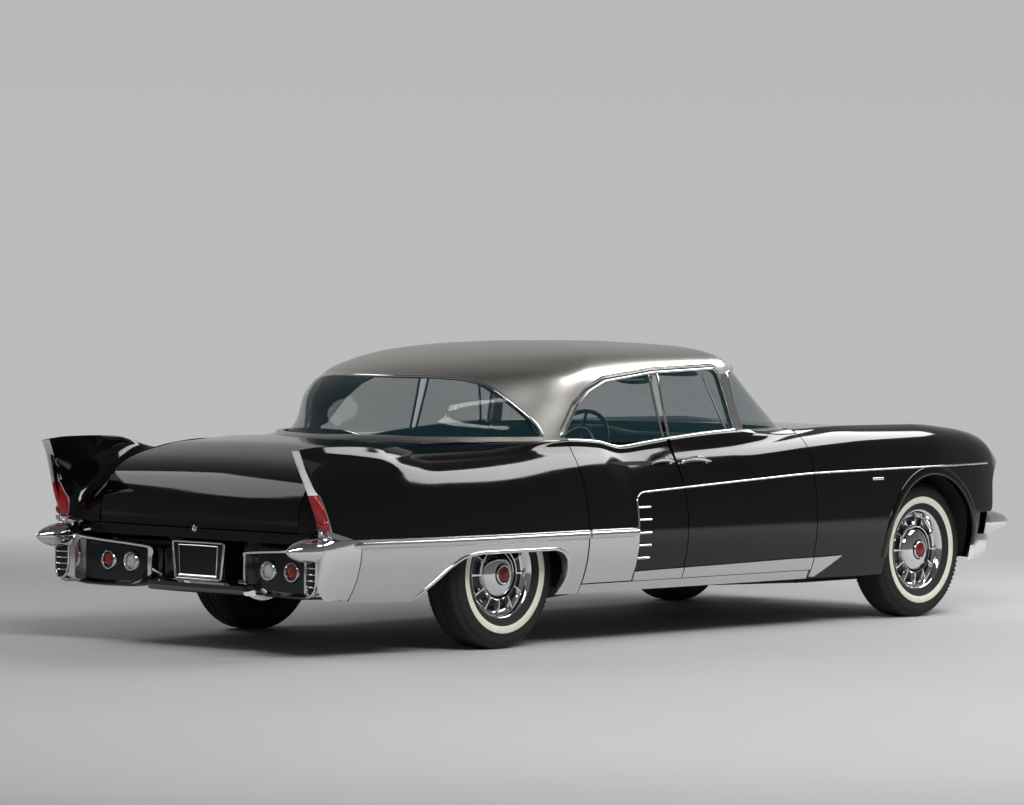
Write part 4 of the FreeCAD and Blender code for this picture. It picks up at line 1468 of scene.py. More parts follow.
def sided(mesher: Mesher, side: int) -> Mesher:
    """The mesher as it is on the left, mirrored on the right."""
    return mesher if side > 0 else mesher.mirrored()


def word(side: int) -> str:
    """left or right."""
    return "left" if side > 0 else "right"


def owner(body: str, side: int) -> str:
    """The body itself, or the door on one side where the name ends in an underscore."""
    return body + word(side) if body.endswith("_") else body


def rounded_bar(half: float, proud: float, sunk: float = 2.0, steps: int = 6) -> list[Flat]:
    """Half-round moulding section, its back sunk in the panel.

    Args:
        half: half width.
        proud: height of the round.
        sunk: depth of the back.
        steps: number of steps over the round.

    Returns:
        The closed section.
    """
    angles = [math.pi * i / steps for i in range(steps + 1)]
    arc = [(half * math.cos(a), proud * math.sin(a)) for a in angles]
    return [(-half, -sunk), (half, -sunk)] + arc


@dataclass
class SidePanels:
    """Wings, doors, quarters, the steel lower quarters and the sills."""

    form: BodyForm
    front_shut: float = 830.0
    centre_shut: float = -178.0
    rear_shut: float = -905.0
    door_bottom: float = 288.0
    arch_radius: float = 392.0
    arch_z: float = AXLE_Z + 6
    bevel: tuple = (
        (1000, 3), (970, 3), (905, 7), (860, 12), (820, 17), (780, 23), (740, 29), (660, 45)
    )
    notch: tuple = (354.0, 838.0)
    # outline under the front wing's brow
    brow: tuple = (
        (2527, 776), (2500, 763), (2474, 748), (2448, 730), (2430, 710), (2417, 682), (2410, 648),
        (2405, 560), (2400, 540), (2386, 530), (2266, 528), (2262, 500), (2262, 200), (2700, 200),
        (2700, 776),
    )
    rear_arch: tuple = (
        (-2025, 200), (-1985, 262), (-1915, 330), (-1830, 402), (-1735, 446), (-1620, 458),
        (-1150, 458), (-1080, 440), (-1034, 392), (-1020, 336), (-1032, 286), (-1064, 240),
        (-1100, 200),
    )

    def arch_front(self) -> Mesher:
        """Cutter for the round front wheel opening.

        Returns:
            The cutter.
        """
        r = self.arch_radius
        ring = [(FRONT_AXLE + math.cos(a) * r, self.arch_z + math.sin(a) * r) for a in around(64)]
        return prism(ring, 600, 1100)

    def nose(self) -> Mesher:
        """Cutter for what the brow overhangs."""
        return prism(self.brow, 500, 1000)

    def door_edge(self, way: int) -> Mesher:
        """Cutter past the free edge of a door.

        Args:
            way: 1 for the front door, -1 for the rear.

        Returns:
            The cutter.
        """
        points = [(self.centre_shut + way * w, y) for y, w in self.bevel]
        points += [(self.centre_shut - way * 60, y) for y in (660, 1000)]
        made = Mesher()
        made.loft([[(x, y, z) for x, y in points] for z in (200, 1400)])
        return made

    def build(self) -> None:
        """Makes both sides."""
        form = self.form
        front, centre, rear = self.front_shut, self.centre_shut, self.rear_shut
        low = block(-1200, 1200, 500, 1100, 100, self.door_bottom)
        corner = block(self.notch[0], 1000, 500, self.notch[1], 870, 1100)
        wing = form.shell(front + HALF_GAP, 2556, 28, False)
        quarter = form.upper(-2600, rear - HALF_GAP)
        front_door = form.shell(centre - 40, front - HALF_GAP, 80, True)
        rear_door = form.shell(rear + HALF_GAP, centre + 40, 80, True, 16.0)
        for side in SIDES:
            for name, part, cutters, body, node in (
                ("wing_panel_", wing, (self.arch_front(), self.nose()), "body", "wing_"),
                ("quarter_panel_", quarter, (), "body", "quarter_"),
                (
                    "front_door_skin_", front_door, (low, self.door_edge(1), corner), "front_door_",
                    "door_front_",
                ),
                (
                    "rear_door_skin_", rear_door, (low, self.door_edge(-1)), "rear_door_",
                    "door_rear_",
                ),
            ):
                piece = sided(part, side).build(name + word(side), [Finish.BLACK])
                if cutters:
                    cut(piece, [sided(cutter, side) for cutter in cutters])
                settle(piece, owner(body, side), [node + word(side)])
        lower = form.shell(-2397, rear - HALF_GAP, 26, False, 30.0)
        above = block(-3000, 0, 400, 1100, form.split_z - 0.5, 1100)
        skin = lower.build("steel_quarter", [Finish.PANEL_STEEL])
        cut(skin, [prism(eased(self.rear_arch, 24), 500, 1100), above])
        self.mirror_join(skin)
        settle(skin, "body", [])
        sill = form.shell(rear + HALF_GAP, front - HALF_GAP, 80, True, 60.0)
        sill = sill.build("sill_panel", [Finish.PANEL_STEEL])
        cut(sill, [block(-1200, 1200, 400, 1100, self.door_bottom - 6, 1300)])
        self.mirror_join(sill)
        settle(sill, "body", ["side_trims"])

    @staticmethod
    def mirror_join(piece: bpy.types.Object) -> None:
        """Adds the right-hand copy to a left-hand piece's own mesh.

        Args:
            piece: the left-hand piece.
        """
        work = bmesh.new()
        work.from_mesh(piece.data)
        copy = bmesh.ops.duplicate(work, geom=work.verts[:] + work.edges[:] + work.faces[:])
        moved = [g for g in copy["geom"] if isinstance(g, bmesh.types.BMVert)]
        for vert in moved:
            vert.co.y = -vert.co.y
        bmesh.ops.reverse_faces(
            work, faces=[g for g in copy["geom"] if isinstance(g, bmesh.types.BMFace)]
        )
        work.to_mesh(piece.data)
        work.free()


# ================================================================ lids and decks
@dataclass
class Lids:
    """Bonnet, boot lid and deck panel, with the boot's lock boss."""

    bonnet_line: tuple = (
        (1262, 966), (1300, 964), (1560, 963), (1828, 960), (2050, 950), (2300, 926), (2470, 888),
        (2535, 850), (2556, 815), (2550, 800),
    )
    boot_line: tuple = (
        (-1790, 940), (-2000, 925), (-2200, 889), (-2310, 858), (-2375, 828), (-2430, 785),
        (-2468, 725), (-2486, 680), (-2497, 620), (-2496, 590), (-2500, 563),
    )
    deck_line: tuple = ((-1784, 940), (-1600, 949), (-1400, 949), (-1240, 946))
    bonnet_half: float = 690.0
    boot_half: float = 642.0
    deck_half: float = 640.0
    crown: float = 14.0
    wall: float = 14.0

    def sheet(
        self, line: Sequence[Flat], half: float, reach: float, wall: float, steps: int = 8
    ) -> Mesher:
        """A crowned panel following a side-view line across the car.

        Args:
            line: x z points of its edge.
            half: half width.
            reach: how much further its middle stands out at the end of the line.
            wall: thickness.
            steps: divisions between two points of the line.

        Returns:
            The panel, closed.
        """
        spline = Spline([(i, *p) for i, p in enumerate(line)])
        places = [i / steps for i in range((len(line) - 1) * steps + 1)]
        rise = max(p[1] for p in line) - min(p[1] for p in line)
        top = line[0][1]
        way = 1 if line[-1][0] > line[0][0] else -1
        rows, backs = [], []
        for y in span(-half, half, 30):
            share = 1 - (y / half) ** 2
            row, back = [], []
            for u in places:
                x, z = spline.at(u)
                ahead, behind = spline.at(min(u + 0.05, places[-1])), spline.at(max(u - 0.05, 0))
                tx, tz = unit(ahead[0] - behind[0], ahead[1] - behind[1])
                nx, nz = -tz * way, tx * way
                fall = min(1.0, max(0.0, (top - z) / max(rise, 1)))
                x += way * reach * share * fall
                z += self.crown * share * (1 - fall)
                row.append((x, y, z))
                back.append((x - nx * wall, y, z - nz * wall))
            rows.append(row)
            backs.append(back)
        return Mesher().slab(rows, backs)

    def build(self) -> None:
        """Makes the two lids and the deck panel."""
        for name, sheet, body, node in (
            (
                "bonnet_panel", self.sheet(self.bonnet_line, self.bonnet_half, 14, self.wall),
                "bonnet", "bonnet",
            ),
            (
                "boot_panel", self.sheet(self.boot_line, self.boot_half, 12, self.wall), "boot_lid",
                "boot_lid",
            ),
            ("deck_skin", self.sheet(self.deck_line, self.deck_half, 0, 20), "body", "deck_panel"),
        ):
            settle(sheet.build(name, [Finish.BLACK]), body, [node])
        boss = Mesher()
        boss.revolve(
            (-2512, 0, 557),
            ((0, 0.01), (0, 15), (-7, 15), (-10, 12), (-10, 9), (-8, 8), (-9, 0.01)), 28, "X",
        )
        settle(boss.build("boot_lock_boss", [Finish.CHROME]), "boot_lid", [])


# ================================================================ glasshouse
@dataclass
class Glasshouse:
    """Roof shell with its windows cut, and the bright window frames round the glass.

    Each level is a plan outline: z, rear centre x, rear corner x y, rear side x y, side middle y,
    front side x y, front corner x y, front centre x.
    """

    levels: tuple = (
        (930, -1722, -1607, 400, -950, 806, 849, 432, 828, 1128, 400, 1200),
        (1100, -1515, -1405, 400, -800, 776, 800, 418, 782, 905, 460, 995),
        (1250, -1328, -1225, 400, -660, 742, 758, 405, 740, 672, 520, 775),
        (1310, -1175, -1080, 370, -600, 700, 728, 398, 712, 625, 490, 720),
        (1355, -965, -890, 320, -520, 628, 658, 370, 640, 570, 420, 645),
        (1388, -700, -645, 230, -420, 470, 500, 290, 480, 470, 300, 520),
        (1409, -400, -380, 80, -330, 150, 160, 120, 150, 215, 90, 235),
    )
    window: tuple = (
        (366, 900), (366, 985), (347, 1130), (322, 1262), (296, 1284), (-194, 1268), (-540, 1230),
        (-669, 1182), (-763, 1116), (-878, 990), (-912, 978), (-912, 900),
    )
    backlight: tuple = (
        (-1010, 972), (-1030, 1030), (-1080, 1095), (-1140, 1177), (-1165, 1215), (-1215, 1238),
        (-1330, 1246), (-1900, 1246), (-1900, 972),
    )
    screen: tuple = ((428, 985), (403, 1130), (398, 1268), (600, 1290), (1300, 1290), (1300, 985))
    roof_wall: float = 30.0
    pitch: float = 26.0             # spacing of the points along a moulding
    bar_lean: tuple = (0, 1, 0.2)   # outward direction of the bars in the door glass

    def __post_init__(self) -> None:
        """Fits a spline over the level number."""
        self.spline = Spline([(i, *row) for i, row in enumerate(self.levels)])

    def outline(self, level: float, inset: float, drop: float, fine: int = 1) -> list[Point]:
        """One closed plan outline.

        Args:
            level: place between the levels.
            inset: how far inside the surface.
            drop: how far it is lowered.
            fine: multiplies the number of points.

        Returns:
            Its points, from the rear centre round the left side.
        """
        z, rc, rcx, rcy, rsx, rsy, my, fsx, fsy, fcx, fcy, fc = self.spline.at(level)
        rc, rcx, fc, fcx = rc + inset, rcx + inset, fc - inset, fcx - inset
        rsy, my, fsy, rcy, fcy = (
            rsy - inset, my - inset, fsy - inset, rcy - inset * 0.3, fcy - inset * 0.3
        )
        rear, leaving = turned((rc, 0), (0, 1), (rcx, rcy), 8 * fine)
        rear_side, _ = turned((rcx, rcy), leaving, (rsx, rsy), 14 * fine)
        front, ahead = turned((fc, 0), (0, 1), (fcx, fcy), 8 * fine)
        front_side, _ = turned((fcx, fcy), ahead, (fsx, fsy), 14 * fine)
        side = []
        for i in range(1, 18 * fine):
            t = i / (18 * fine)
            bow = 4 * t * (1 - t) * (my - (rsy + fsy) / 2)
            side.append((rsx + (fsx - rsx) * t, rsy + (fsy - rsy) * t + bow))
        half = (
            [(rc, 0.0)] + rear + rear_side + side + list(reversed(front_side))
            + list(reversed(front[:-1])) + [(fc, 0.0)]
        )
        whole = half + [(x, -y) for x, y in reversed(half[1:-1])]
        return [(x, y, z - drop) for x, y in whole]

    def form(self, inset: float, fine: int = 1) -> Mesher:
        """The closed glasshouse form, taken in by an inset and lowered at the roof by as much.

        Args:
            inset: distance taken in.
            fine: multiplies the number of points.

        Returns:
            The mesher.
        """
        loops = []
        for i in range(49):
            level = i / 8
            z = self.spline.at(level)[0]
            drop = inset * max(0.0, min(1.0, (z - 1250) / 60))
            loops.append(self.outline(level, inset, drop, fine))
        made = Mesher()
        made.loft(loops)
        return made

    def build_roof(self) -> None:
        """Makes the steel roof shell."""
        shell = self.form(0, 2).build("roof_shell", [Finish.STEEL])
        cut(shell, self.hollows(self.roof_wall, 952), 40)
        settle(shell, "body", ["roof", "pillars"])

    def hollows(self, inset: float, foot: float) -> list[Mesher]:
        """Cutters that leave a shell with its windows.

        Args:
            inset: the shell's inner side.
            foot: the height it starts at.

        Returns:
            The cutters.
        """
        windows = (self.window, self.backlight, self.screen)
        low = block(-3000, 3000, -1300, 1300, 800, foot)
        return [self.form(inset)] + [prism(outline, -1300, 1300) for outline in windows] + [low]

    # ---------------------------------------------------------------- points on the surface
    def level_of(self, z: float) -> float:
        """The level number at a height.

        Args:
            z: height.

        Returns:
            The level, with its fraction.
        """
        low, high = 0.0, float(len(self.levels) - 1)
        for _ in range(30):
            middle = (low + high) / 2
            low, high = (middle, high) if self.spline.at(middle)[0] < z else (low, middle)
        return low

    def side_at(self, x: float, z: float, lift: float = 0.0) -> Point:
        """The left-hand surface point at x and z, lifted outward.

        Args:
            x: place along the car.
            z: height.
            lift: distance outward.

        Returns:
            The point.
        """
        half = [p for p in self.outline(self.level_of(z), -lift, 0.0) if p[1] >= 0]
        for (x0, y0, _), (x1, y1, _) in zip(half, half[1:]):
            if x0 <= x <= x1:
                return (x, y0 + (y1 - y0) * (x - x0) / max(1e-6, x1 - x0), z)
        end = half[0] if x < half[0][0] else half[-1]
        return (end[0], 0.0, z)

    def dense(self, path: Sequence[Flat], pitch: float) -> list[Flat]:
        """A side-view path with points no further apart than a pitch.

        Args:
            path: points in x and z.
            pitch: longest step.

        Returns:
            The new points.
        """
        out = [path[0]]
        for (ax, az), (bx, bz) in zip(path, path[1:]):
            steps = max(1, int(math.hypot(bx - ax, bz - az) / pitch + 0.99))
            out += [
                (ax + (bx - ax) * i / steps, az + (bz - az) * i / steps)
                for i in range(1, steps + 1)
            ]
        return out

    def rail(self, path: Sequence[Flat], section: Sequence[Flat]) -> Mesher:
        """A moulding along a side-view path on the left-hand surface.

        Args:
            path: points in x and z.
            section: closed section across and outward.

        Returns:
            The mesher.
        """
        points = [self.side_at(x, z) for x, z in self.dense(path, self.pitch)]
        points = [p for p in points if p[1] > 1]
        outward = []
        for x, _, z in points:
            slope = (self.side_at(x, z + 6)[1] - self.side_at(x, z - 6)[1]) / 12
            lean = (self.side_at(x + 6, z)[1] - self.side_at(x - 6, z)[1]) / 12
            outward.append(Vector((-lean, 1, -slope)).normalized())
        made = Mesher()
        made.sweep(points, section, outward)
        return made

    def frames(self) -> None:
        """Makes the bright frames of the rear window and windscreen, and the gutters."""
        bright, dark = Mesher(), Mesher()
        opening = [(x, z) for x, z in self.window if z > 970]
        bright.add(self.rail(opening, rounded_bar(7, 5, 4)).paired())
        over = [
            (318, 1290), (290, 1303), (-194, 1288), (-555, 1249), (-690, 1199), (-790, 1128),
            (-905, 1000),
        ]
        for path, section, target in (
            (over, rounded_bar(5, 9, 3), bright),
            ([(x, z - 11) for x, z in over[1:-1]], rounded_bar(4, 2, 2), dark),
        ):
            target.add(self.rail(path, section).paired())
        for path, z in (
            (
                (-1010, 976), (-1030, 1030), (-1080, 1095), (-1140, 1177), (-1165, 1215),
                (-1215, 1238), (-1262, 1244),
            ),
            1246,
        ), (((428, 985), (403, 1130), (398, 1262), (420, 1268), (560, 1285)), 1290):
            left = [self.side_at(x, h) for x, h in self.dense(path, self.pitch)]
            loop = self.outline(self.level_of(z), 0, 0, 2)
            limit = path[-1][0]
            across = [p for p in loop if (p[0] < limit if z == 1246 else p[0] > limit)]
            middle = sorted(across, key=lambda p: -p[1])
            ring = left + middle + [(x, -y, h) for x, y, h in reversed(left)]
            way = -1 if z == 1246 else 1
            leans = [(way * (1 - min(1, abs(y) / 900)), y / 620, 0.45) for _, y, _ in ring]
            outward = [Vector(lean).normalized() for lean in leans]
            bright.sweep(ring, rounded_bar(8, 6, 5), outward)
        settle(bright.build("window_frames", [Finish.CHROME]), "body", [])
        settle(dark.build("gutter_seals", [Finish.SEAL]), "body", [])

    def pillar_covers(self) -> None:
        """Makes the bright covers over the windscreen pillars."""
        rows = []
        for z in span(990, 1258, 22):
            back = Spline(((980, 366), (1130, 347), (1262, 322))).at(z)[0] + 8
            front = Spline(((985, 428), (1130, 403), (1268, 398))).at(z)[0] - 6
            rows.append([self.side_at(back + (front - back) * i / 4, z, 2.5) for i in range(5)])
        made = Mesher()
        inner = [[(x, y - 5, z) for x, y, z in row] for row in rows]
        made.loft([list(a) + list(reversed(b)) for a, b in zip(rows, inner)])
        settle(made.paired().build("pillar_covers", [Finish.CHROME]), "body", [])

    def bars(self, shut: float, bevel: Spline) -> None:
        """Makes the bright bars up the meeting edges of the door glass, and the vent bars.

        Args:
            shut: x of the gap between the doors.
            bevel: half the gap against y.
        """
        for side in SIDES:
            for body, way in (("front_door_", 1), ("rear_door_", -1)):
                path = []
                for z in span(952, 1264, self.pitch):
                    y = self.side_at(shut, z)[1]
                    x = shut + way * (bevel.at(y)[0] + 7)
                    path.append((x, self.side_at(x, z)[1] - 8, z))
                made = Mesher()
                made.sweep(path, rounded_bar(6, 6, 5), [Vector(self.bar_lean)] * len(path))
                if way > 0:
                    vent = [(308 - 103 * (z - 977) / 282, z) for z in span(952, 1262, self.pitch)]
                    points = [(x, self.side_at(x, z)[1] - 8, z) for x, z in vent]
                    made.sweep(points, rounded_bar(7, 7, 5), [Vector(self.bar_lean)] * len(points))
                piece = sided(made, side).build(
                    "%sglass_bars_%s" % (body, word(side)), [Finish.CHROME]
                )
                settle(piece, body + word(side), [])

    def lining(self) -> None:
        """Makes the headlining, the sun visors and the mirror."""
        sheet = self.form(self.roof_wall + 0.6).build("headlining", [Finish.LINING])
        cut(sheet, self.hollows(self.roof_wall + 6.0, 985), 40)
        settle(sheet, "body", [])
        made = Mesher()
        for side in SIDES:
            visor = Mesher()
            loops = []
            for i in range(9):
                y = 90 + 420 * i / 8
                grow = math.sin(math.pi * (0.06 + 0.88 * i / 8)) ** 0.3
                x = 470 - 60 * (i / 8) ** 2
                loops.append(
                    [
                        (
                            x + 80 * math.cos(a) * grow, y,
                            1262 - 26 * math.cos(a) * grow + 8 * math.sin(a),
                        )
                        for a in around(14)
                    ]
                )
            visor.loft(loops)
            made.add(sided(visor, side))
        settle(made.build("sun_visors", [Finish.LINING]), "body", [])
        glass = Mesher()
        loops = []
        for i in range(11):
            y = -120 + 24 * i
            grow = max(0.25, math.sin(math.pi * (0.04 + 0.92 * i / 10)) ** 0.35)
            loops.append(
                [
                    (560 + 9 * math.cos(a) * grow, y, 1218 + 30 * math.sin(a) * grow)
                    for a in around(16)
                ]
            )
        glass.loft(loops)
        glass.sweep(
            [(566, 0, 1222), (590, 0, 1250), (600, 0, 1276)], rounded_bar(5, 6, 5),
            [Vector((-1, 0, 0.4))] * 3,
        )
        settle(glass.build("mirror", [Finish.CHROME]), "body", [])

    def build(self, panels: SidePanels) -> None:
        """Makes the roof with everything on it.

        Args:
            panels: the side panels, for their shut lines.
        """
        self.build_roof()
        self.frames()
        self.pillar_covers()
        self.bars(panels.centre_shut, Spline(sorted(panels.bevel)))
        self.lining()


# ================================================================ ends of the car
def ogive(root: Point, tip: Point, radius: float, steps: int = 40, rings: int = 16) -> Mesher:
    """A pointed bumper guard along X, from its root to its tip.

    Args:
        root: centre of its foot.
        tip: its point.
        radius: radius at the foot.
        steps: number of steps round.
        rings: number of steps along.

    Returns:
        The mesher.
    """
    way = 1 if tip[0] > root[0] else -1
    length = abs(tip[0] - root[0])
    outline = [(0.0, 0.01)]
    for i in range(rings + 1):
        t = math.sin(math.pi / 2 * i / rings)
        outline.append((way * t * (length - 4), max(5.0, radius * (1 - t) ** 0.45)))
    outline += [(way * (length - 0.8), 2.5), (way * length, 0.01)]
    made = Mesher()
    made.revolve(root, outline, steps, "X")
    return made


@dataclass
class RearEnd:
    """Rear bumper with its lamps, vents and bullets, the fin lamps and the plate holder."""

    form: BodyForm
    # y, front x, lip x, top z, face x, bottom x, bottom z, front bottom z
    pod: tuple = (
        (296, -2432, -2496, 456, -2486, -2450, 322, 314),
        (301, -2432, -2504, 463, -2498, -2458, 308, 302),
        (318, -2432, -2508, 467, -2504, -2464, 296, 290),
        (323, -2432, -2509, 468, -2466, -2466, 293, 288),
        (350, -2432, -2512, 471, -2468, -2476, 284, 280),
        (448, -2432, -2518, 478, -2478, -2498, 268, 266),
        (598, -2432, -2530, 487, -2484, -2514, 266, 264),
        (700, -2434, -2545, 496, -2492, -2534, 269, 266),
        (738, -2436, -2552, 501, -2500, -2542, 273, 269),
        (748, -2437, -2554, 503, -2562, -2545, 274, 270),
        (819, -2440, -2574, 514, -2592, -2562, 290, 284),
        (853, -2440, -2566, 516, -2586, -2554, 303, 296),
    )
    # x, then y z of the middle and both half widths of the guard, from its fullest place to
    # the quarter's rib
    guard: tuple = (
        (-2575, 815, 494, 62, 59), (-2540, 823, 497, 60, 55), (-2500, 844, 503, 50, 43),
        (-2460, 866, 510, 38, 31),
        (-2425, 888, 514, 29, 24), (-2374, 908, 516, 22, 18),
    )
    # height, share of the trailing edge that is covered, reach ahead of it on the inner side
    lens: tuple = (
        (576, 0.2, 6), (581, 0.6, 20), (590, 0.85, 32), (600, 1.0, 40), (640, 1.0, 42),
        (741, 1.0, 32),
    )
    # height, how far the foot under the lens stands out
    lens_foot: tuple = ((541, 22), (549, 15), (558, 10), (568, 8.5), (577, 8), (579, 5))
    vent: tuple = (
        (776, 446), (776, 400), (777, 352), (783, 322), (796, 303), (812, 296), (828, 302),
        (841, 320), (847, 350), (849, 400), (849, 446),
    )
    tip_x: float = -2747.0
    plate_x: float = -2489.0
    edges: dict = field(default_factory=dict)

    def face_x(self, y: float) -> float:
        """How far back the bumper end's face is at y."""
        for a, b in zip(self.pod, self.pod[1:]):
            if a[0] <= y <= b[0]:
                return a[4] + (b[4] - a[4]) * (y - a[0]) / (b[0] - a[0]) - 2
        return self.pod[-1][4]

    def ends(self) -> None:
        """Makes the bumper ends with the bar that joins them."""
        made = Mesher()
        for side in SIDES:
            loops = []
            for row, after in zip(self.pod, self.pod[1:]):
                for i in range(4 if after[0] - row[0] > 12 else 1):
                    t = i / 4
                    loops.append(self.pod_loop([a + (b - a) * t for a, b in zip(row, after)]))
            loops.append(self.pod_loop(self.pod[-1]))
            part = Mesher()

            def shade(i: int, j: int) -> int:
                """Near-black plating in the lamp bay and darker plating under it, as painted shade;
                bright elsewhere.
                """
                y = loops[i][0][1]
                if j >= 4 and 322 < y < 738:
                    return 1 if j <= 8 else 2
                return 2 if 8 <= j <= 11 and y < 738 else 0

            part.loft(loops, shade)
            made.add(sided(part, side))
        pods = made.build(
            "rear_bumper_ends", [Finish.CHROME, Finish.PAINTED_SHADE_PLATE, Finish.SHADED_CHROME], 32
        )
        self.corners()
        settle(pods, "body", ["rear_bumper"])
        bar = Mesher()
        loops = []
        for y in span(-312, 312, 26):
            bow = 12 * (1 - (y / 312) ** 2)
            loops.append(
                [
                    (-2432, y, 312), (-2492 - bow, y, 318), (-2508 - bow, y, 308),
                    (-2514 - bow, y, 290), (-2506 - bow, y, 272), (-2490 - bow, y, 264),
                    (-2432, y, 262),
                ]
            )
        # the whole bar is in the darker plating: painted shade
        bar.loft(loops, 1)
        for side in SIDES:
            bar.add(sided(self.bullet(), side))
        settle(
            bar.build("rear_bumper_bar", [Finish.CHROME, Finish.SHADED_CHROME], 32), "body", [],
        )

    def bullet(self) -> Mesher:
        """The pointed guard, drawn out ahead into the quarter's rib.

        Returns:
            The mesher.
        """
        table = Spline(self.guard)
        first = self.guard[0]
        rings = [(self.tip_x, *first[1:3], 0.6, 0.6)]
        for k in range(1, 15):
            t = (k / 15) ** 1.6
            grown = (1 - (1 - t) ** 1.9) ** 0.72
            rings.append(
                (
                    self.tip_x + (first[0] - self.tip_x) * t, first[1], first[2], first[3] * grown,
                    first[4] * grown,
                )
            )
        rings += [(x, *table.at(x)) for x in span(-2575, -2374, 12)]
        made = Mesher()
        made.loft([
            [(x, y + ry * math.cos(a), z + rz * math.sin(a)) for a in around(40)]
            for x, y, z, ry, rz in rings
        ])
        return made

    def corners(self) -> None:
        """Makes the bumper's smooth outer corners, from the vents round to the quarters."""
        made = Mesher()
        loops = []
        for z in span(272, 539, 10):
            xa = -2586 + 30 * (max(0.0, 340 - z) / 51) ** 2 + 22 * (max(0.0, z - 505) / 34) ** 2
            xb, yb = -2374, self.form.at(-2374, z)[1] + 2.5
            outer, inner = [], []
            for k in range(17):
                a = math.pi / 2 * k / 16
                c, s = math.cos(a) ** 0.85, math.sin(a) ** 0.85
                outer.append((xb + (xa - xb) * c, 850 + (yb - 850) * s, z))
                inner.append((xb + (xa + 9 - xb) * c, 850 + (yb - 9 - 850) * s, z))
            loops.append(outer + list(reversed(inner)))
        made.loft(loops)
        settle(
            made.paired().build("rear_bumper_corners", [Finish.CHROME], 32), "body", []
        )

    def pod_loop(self, row: Sequence[float]) -> list[Point]:
        """The closed section of a bumper end."""
        y, xf, xl, zt, xm, xb, zb, zf = row
        return [
            (xf, y, zt - 10), (xl + 24, y, zt + 2), (xl + 8, y, zt + 1), (xl, y, zt - 5),
            (xl + 1, y, zt - 13), (xm, y, zt - 28),
            (xm - 2, y, (zt + zb) / 2 + 20), (xm - 2, y, (zt + zb) / 2 - 20), (xm, y, zb + 26),
            (xb + 2, y, zb + 12), (xb, y, zb + 5), (xb + 8, y, zb), (xf, y, zf),
        ]

    def lamps(self) -> None:
        """Makes the round lamps in the bumper and the lamps in the fins."""
        lens_pale, lens_red, bezel = Mesher(), Mesher(), Mesher()
        for side in SIDES:
            for y, lens in ((448, lens_pale), (598, lens_red)):
                spot = (-2458, side * y, 385)
                bezel.revolve(
                    spot,
                    (
                        (0, 50), (-24, 50), (-32, 47), (-37, 43), (-38, 39), (-30, 35), (-10, 34),
                        (0, 35),
                    ),
                    40, "X",
                )
                lens.revolve(
                    spot,
                    ((0, 0.01), (0, 35), (-22, 34), (-27, 31), (-32, 21), (-34.5, 9), (-35, 0.01)),
                    36, "X",
                )
            fin, rim = Mesher(), Mesher()
            loops, front, back = [], [], []
            table = Spline(self.lens)
            for z in [576, 578, 581, 585] + span(590, 741, 11):
                share, ahead = table.at(z)
                loops.append(self.wrap(z, share, ahead, 7))
                (xo, yo), (xn, yn) = self.edge(z, 6), self.edge(z, ahead, True)
                front.append((xo + 3, yo, z))
                back.append((xn + 3, yn, z))
            fin.loft(loops)
            (x0, y0), (xi, yi) = self.edge(612, 0), self.edge(612, 0, True)
            ball = [math.radians(v) for v in range(-90, 91, 12)]
            fin.revolve(
                (x0 * 0.6 + xi * 0.4 + 2, y0 * 0.6 + yi * 0.4, 612),
                [(24 * math.sin(a), max(0.01, 24 * math.cos(a))) for a in ball], 24, "Z",
            )
            lens_red.add(sided(fin, side))
            rim.sweep(front, rounded_bar(4, 7, 4), [Vector((-0.2, 1, 0))] * len(front))
            rim.sweep(back, rounded_bar(3.5, 6, 4), [Vector((0, -1, 0))] * len(back))
            rim.loft([self.wrap(z, 1.0, 22, grow) for z, grow in self.lens_foot])
            bezel.add(sided(rim, side))
            rows = []
            for px in span(-2556, -2424, 11):
                t = (px + 2556) / 132
                low = 541 + 24 * max(0.0, 1 - t / 0.5) ** 1.5
                top = 543 + 40 * (1 - t) ** 0.9
                rows.append([(px, low + (top - low) * k / 5) for k in range(6)])
            bezel.add(sided(self.form.patch(rows, 7.0, 10.0), side))
        settle(lens_pale.build("reversing_lenses", [Finish.CLEAR_LENS]), "body", [])
        settle(lens_red.build("tail_lenses", [Finish.RED_LENS]), "body", ["rear_lamps"])
        settle(bezel.build("lamp_bezels", [Finish.CHROME]), "body", [])

    def wrap(self, z: float, share: float, ahead: float, proud: float) -> list[Point]:
        """A loop round the fin's trailing edge.

        Args:
            z: the height.
            share: how much of the edge's width it spans.
            ahead: how far it reaches along the inner side.
            proud: how far it stands out behind.

        Returns:
            The loop's ten points.
        """
        (x0, y0), (xi, yi) = self.edge(z, 0), self.edge(z, 0, True)
        a, b, way = (
            Vector((x0, y0, z)), Vector((xi, yi, z)), Vector((xi - x0, yi - y0, 0)).normalized()
        )
        out = Vector((way.y, -way.x, 0))
        (xo, yo), (xn, yn), (xm, ym) = (
            self.edge(z, 6), self.edge(z, ahead, True), self.edge(z, ahead * 0.5, True)
        )
        return [
            (xo, yo - 4, z), (xo - 2, yo + 3, z), tuple(a + Vector((-2, 5, 0))),
            tuple(a + out * proud + way * 4), tuple(a.lerp(b, 0.5 * share) + out * (proud + 4)),
            tuple(a.lerp(b, share) + out * proud), tuple(a.lerp(b, share) + Vector((-5, -5, 0))),
            (xm, ym - 6, z), (xn, yn - 4, z), (xn + 1, yn + 5, z),
        ]

    def edge_point(self, i: int, ahead: float) -> Point:
        """Point i of the section, some way ahead of its place on the trailing edge.

        Args:
            i: number of the point.
            ahead: distance forwards.

        Returns:
            The point.
        """
        low, high = -2600.0, -2440.0
        goal = self.form.section(-2600)[i][0] + ahead
        for _ in range(12):
            middle = (low + high) / 2
            if self.form.section(middle)[i][0] < goal:
                low = middle
            else:
                high = middle
        return self.form.section(low if ahead else -2600)[i]

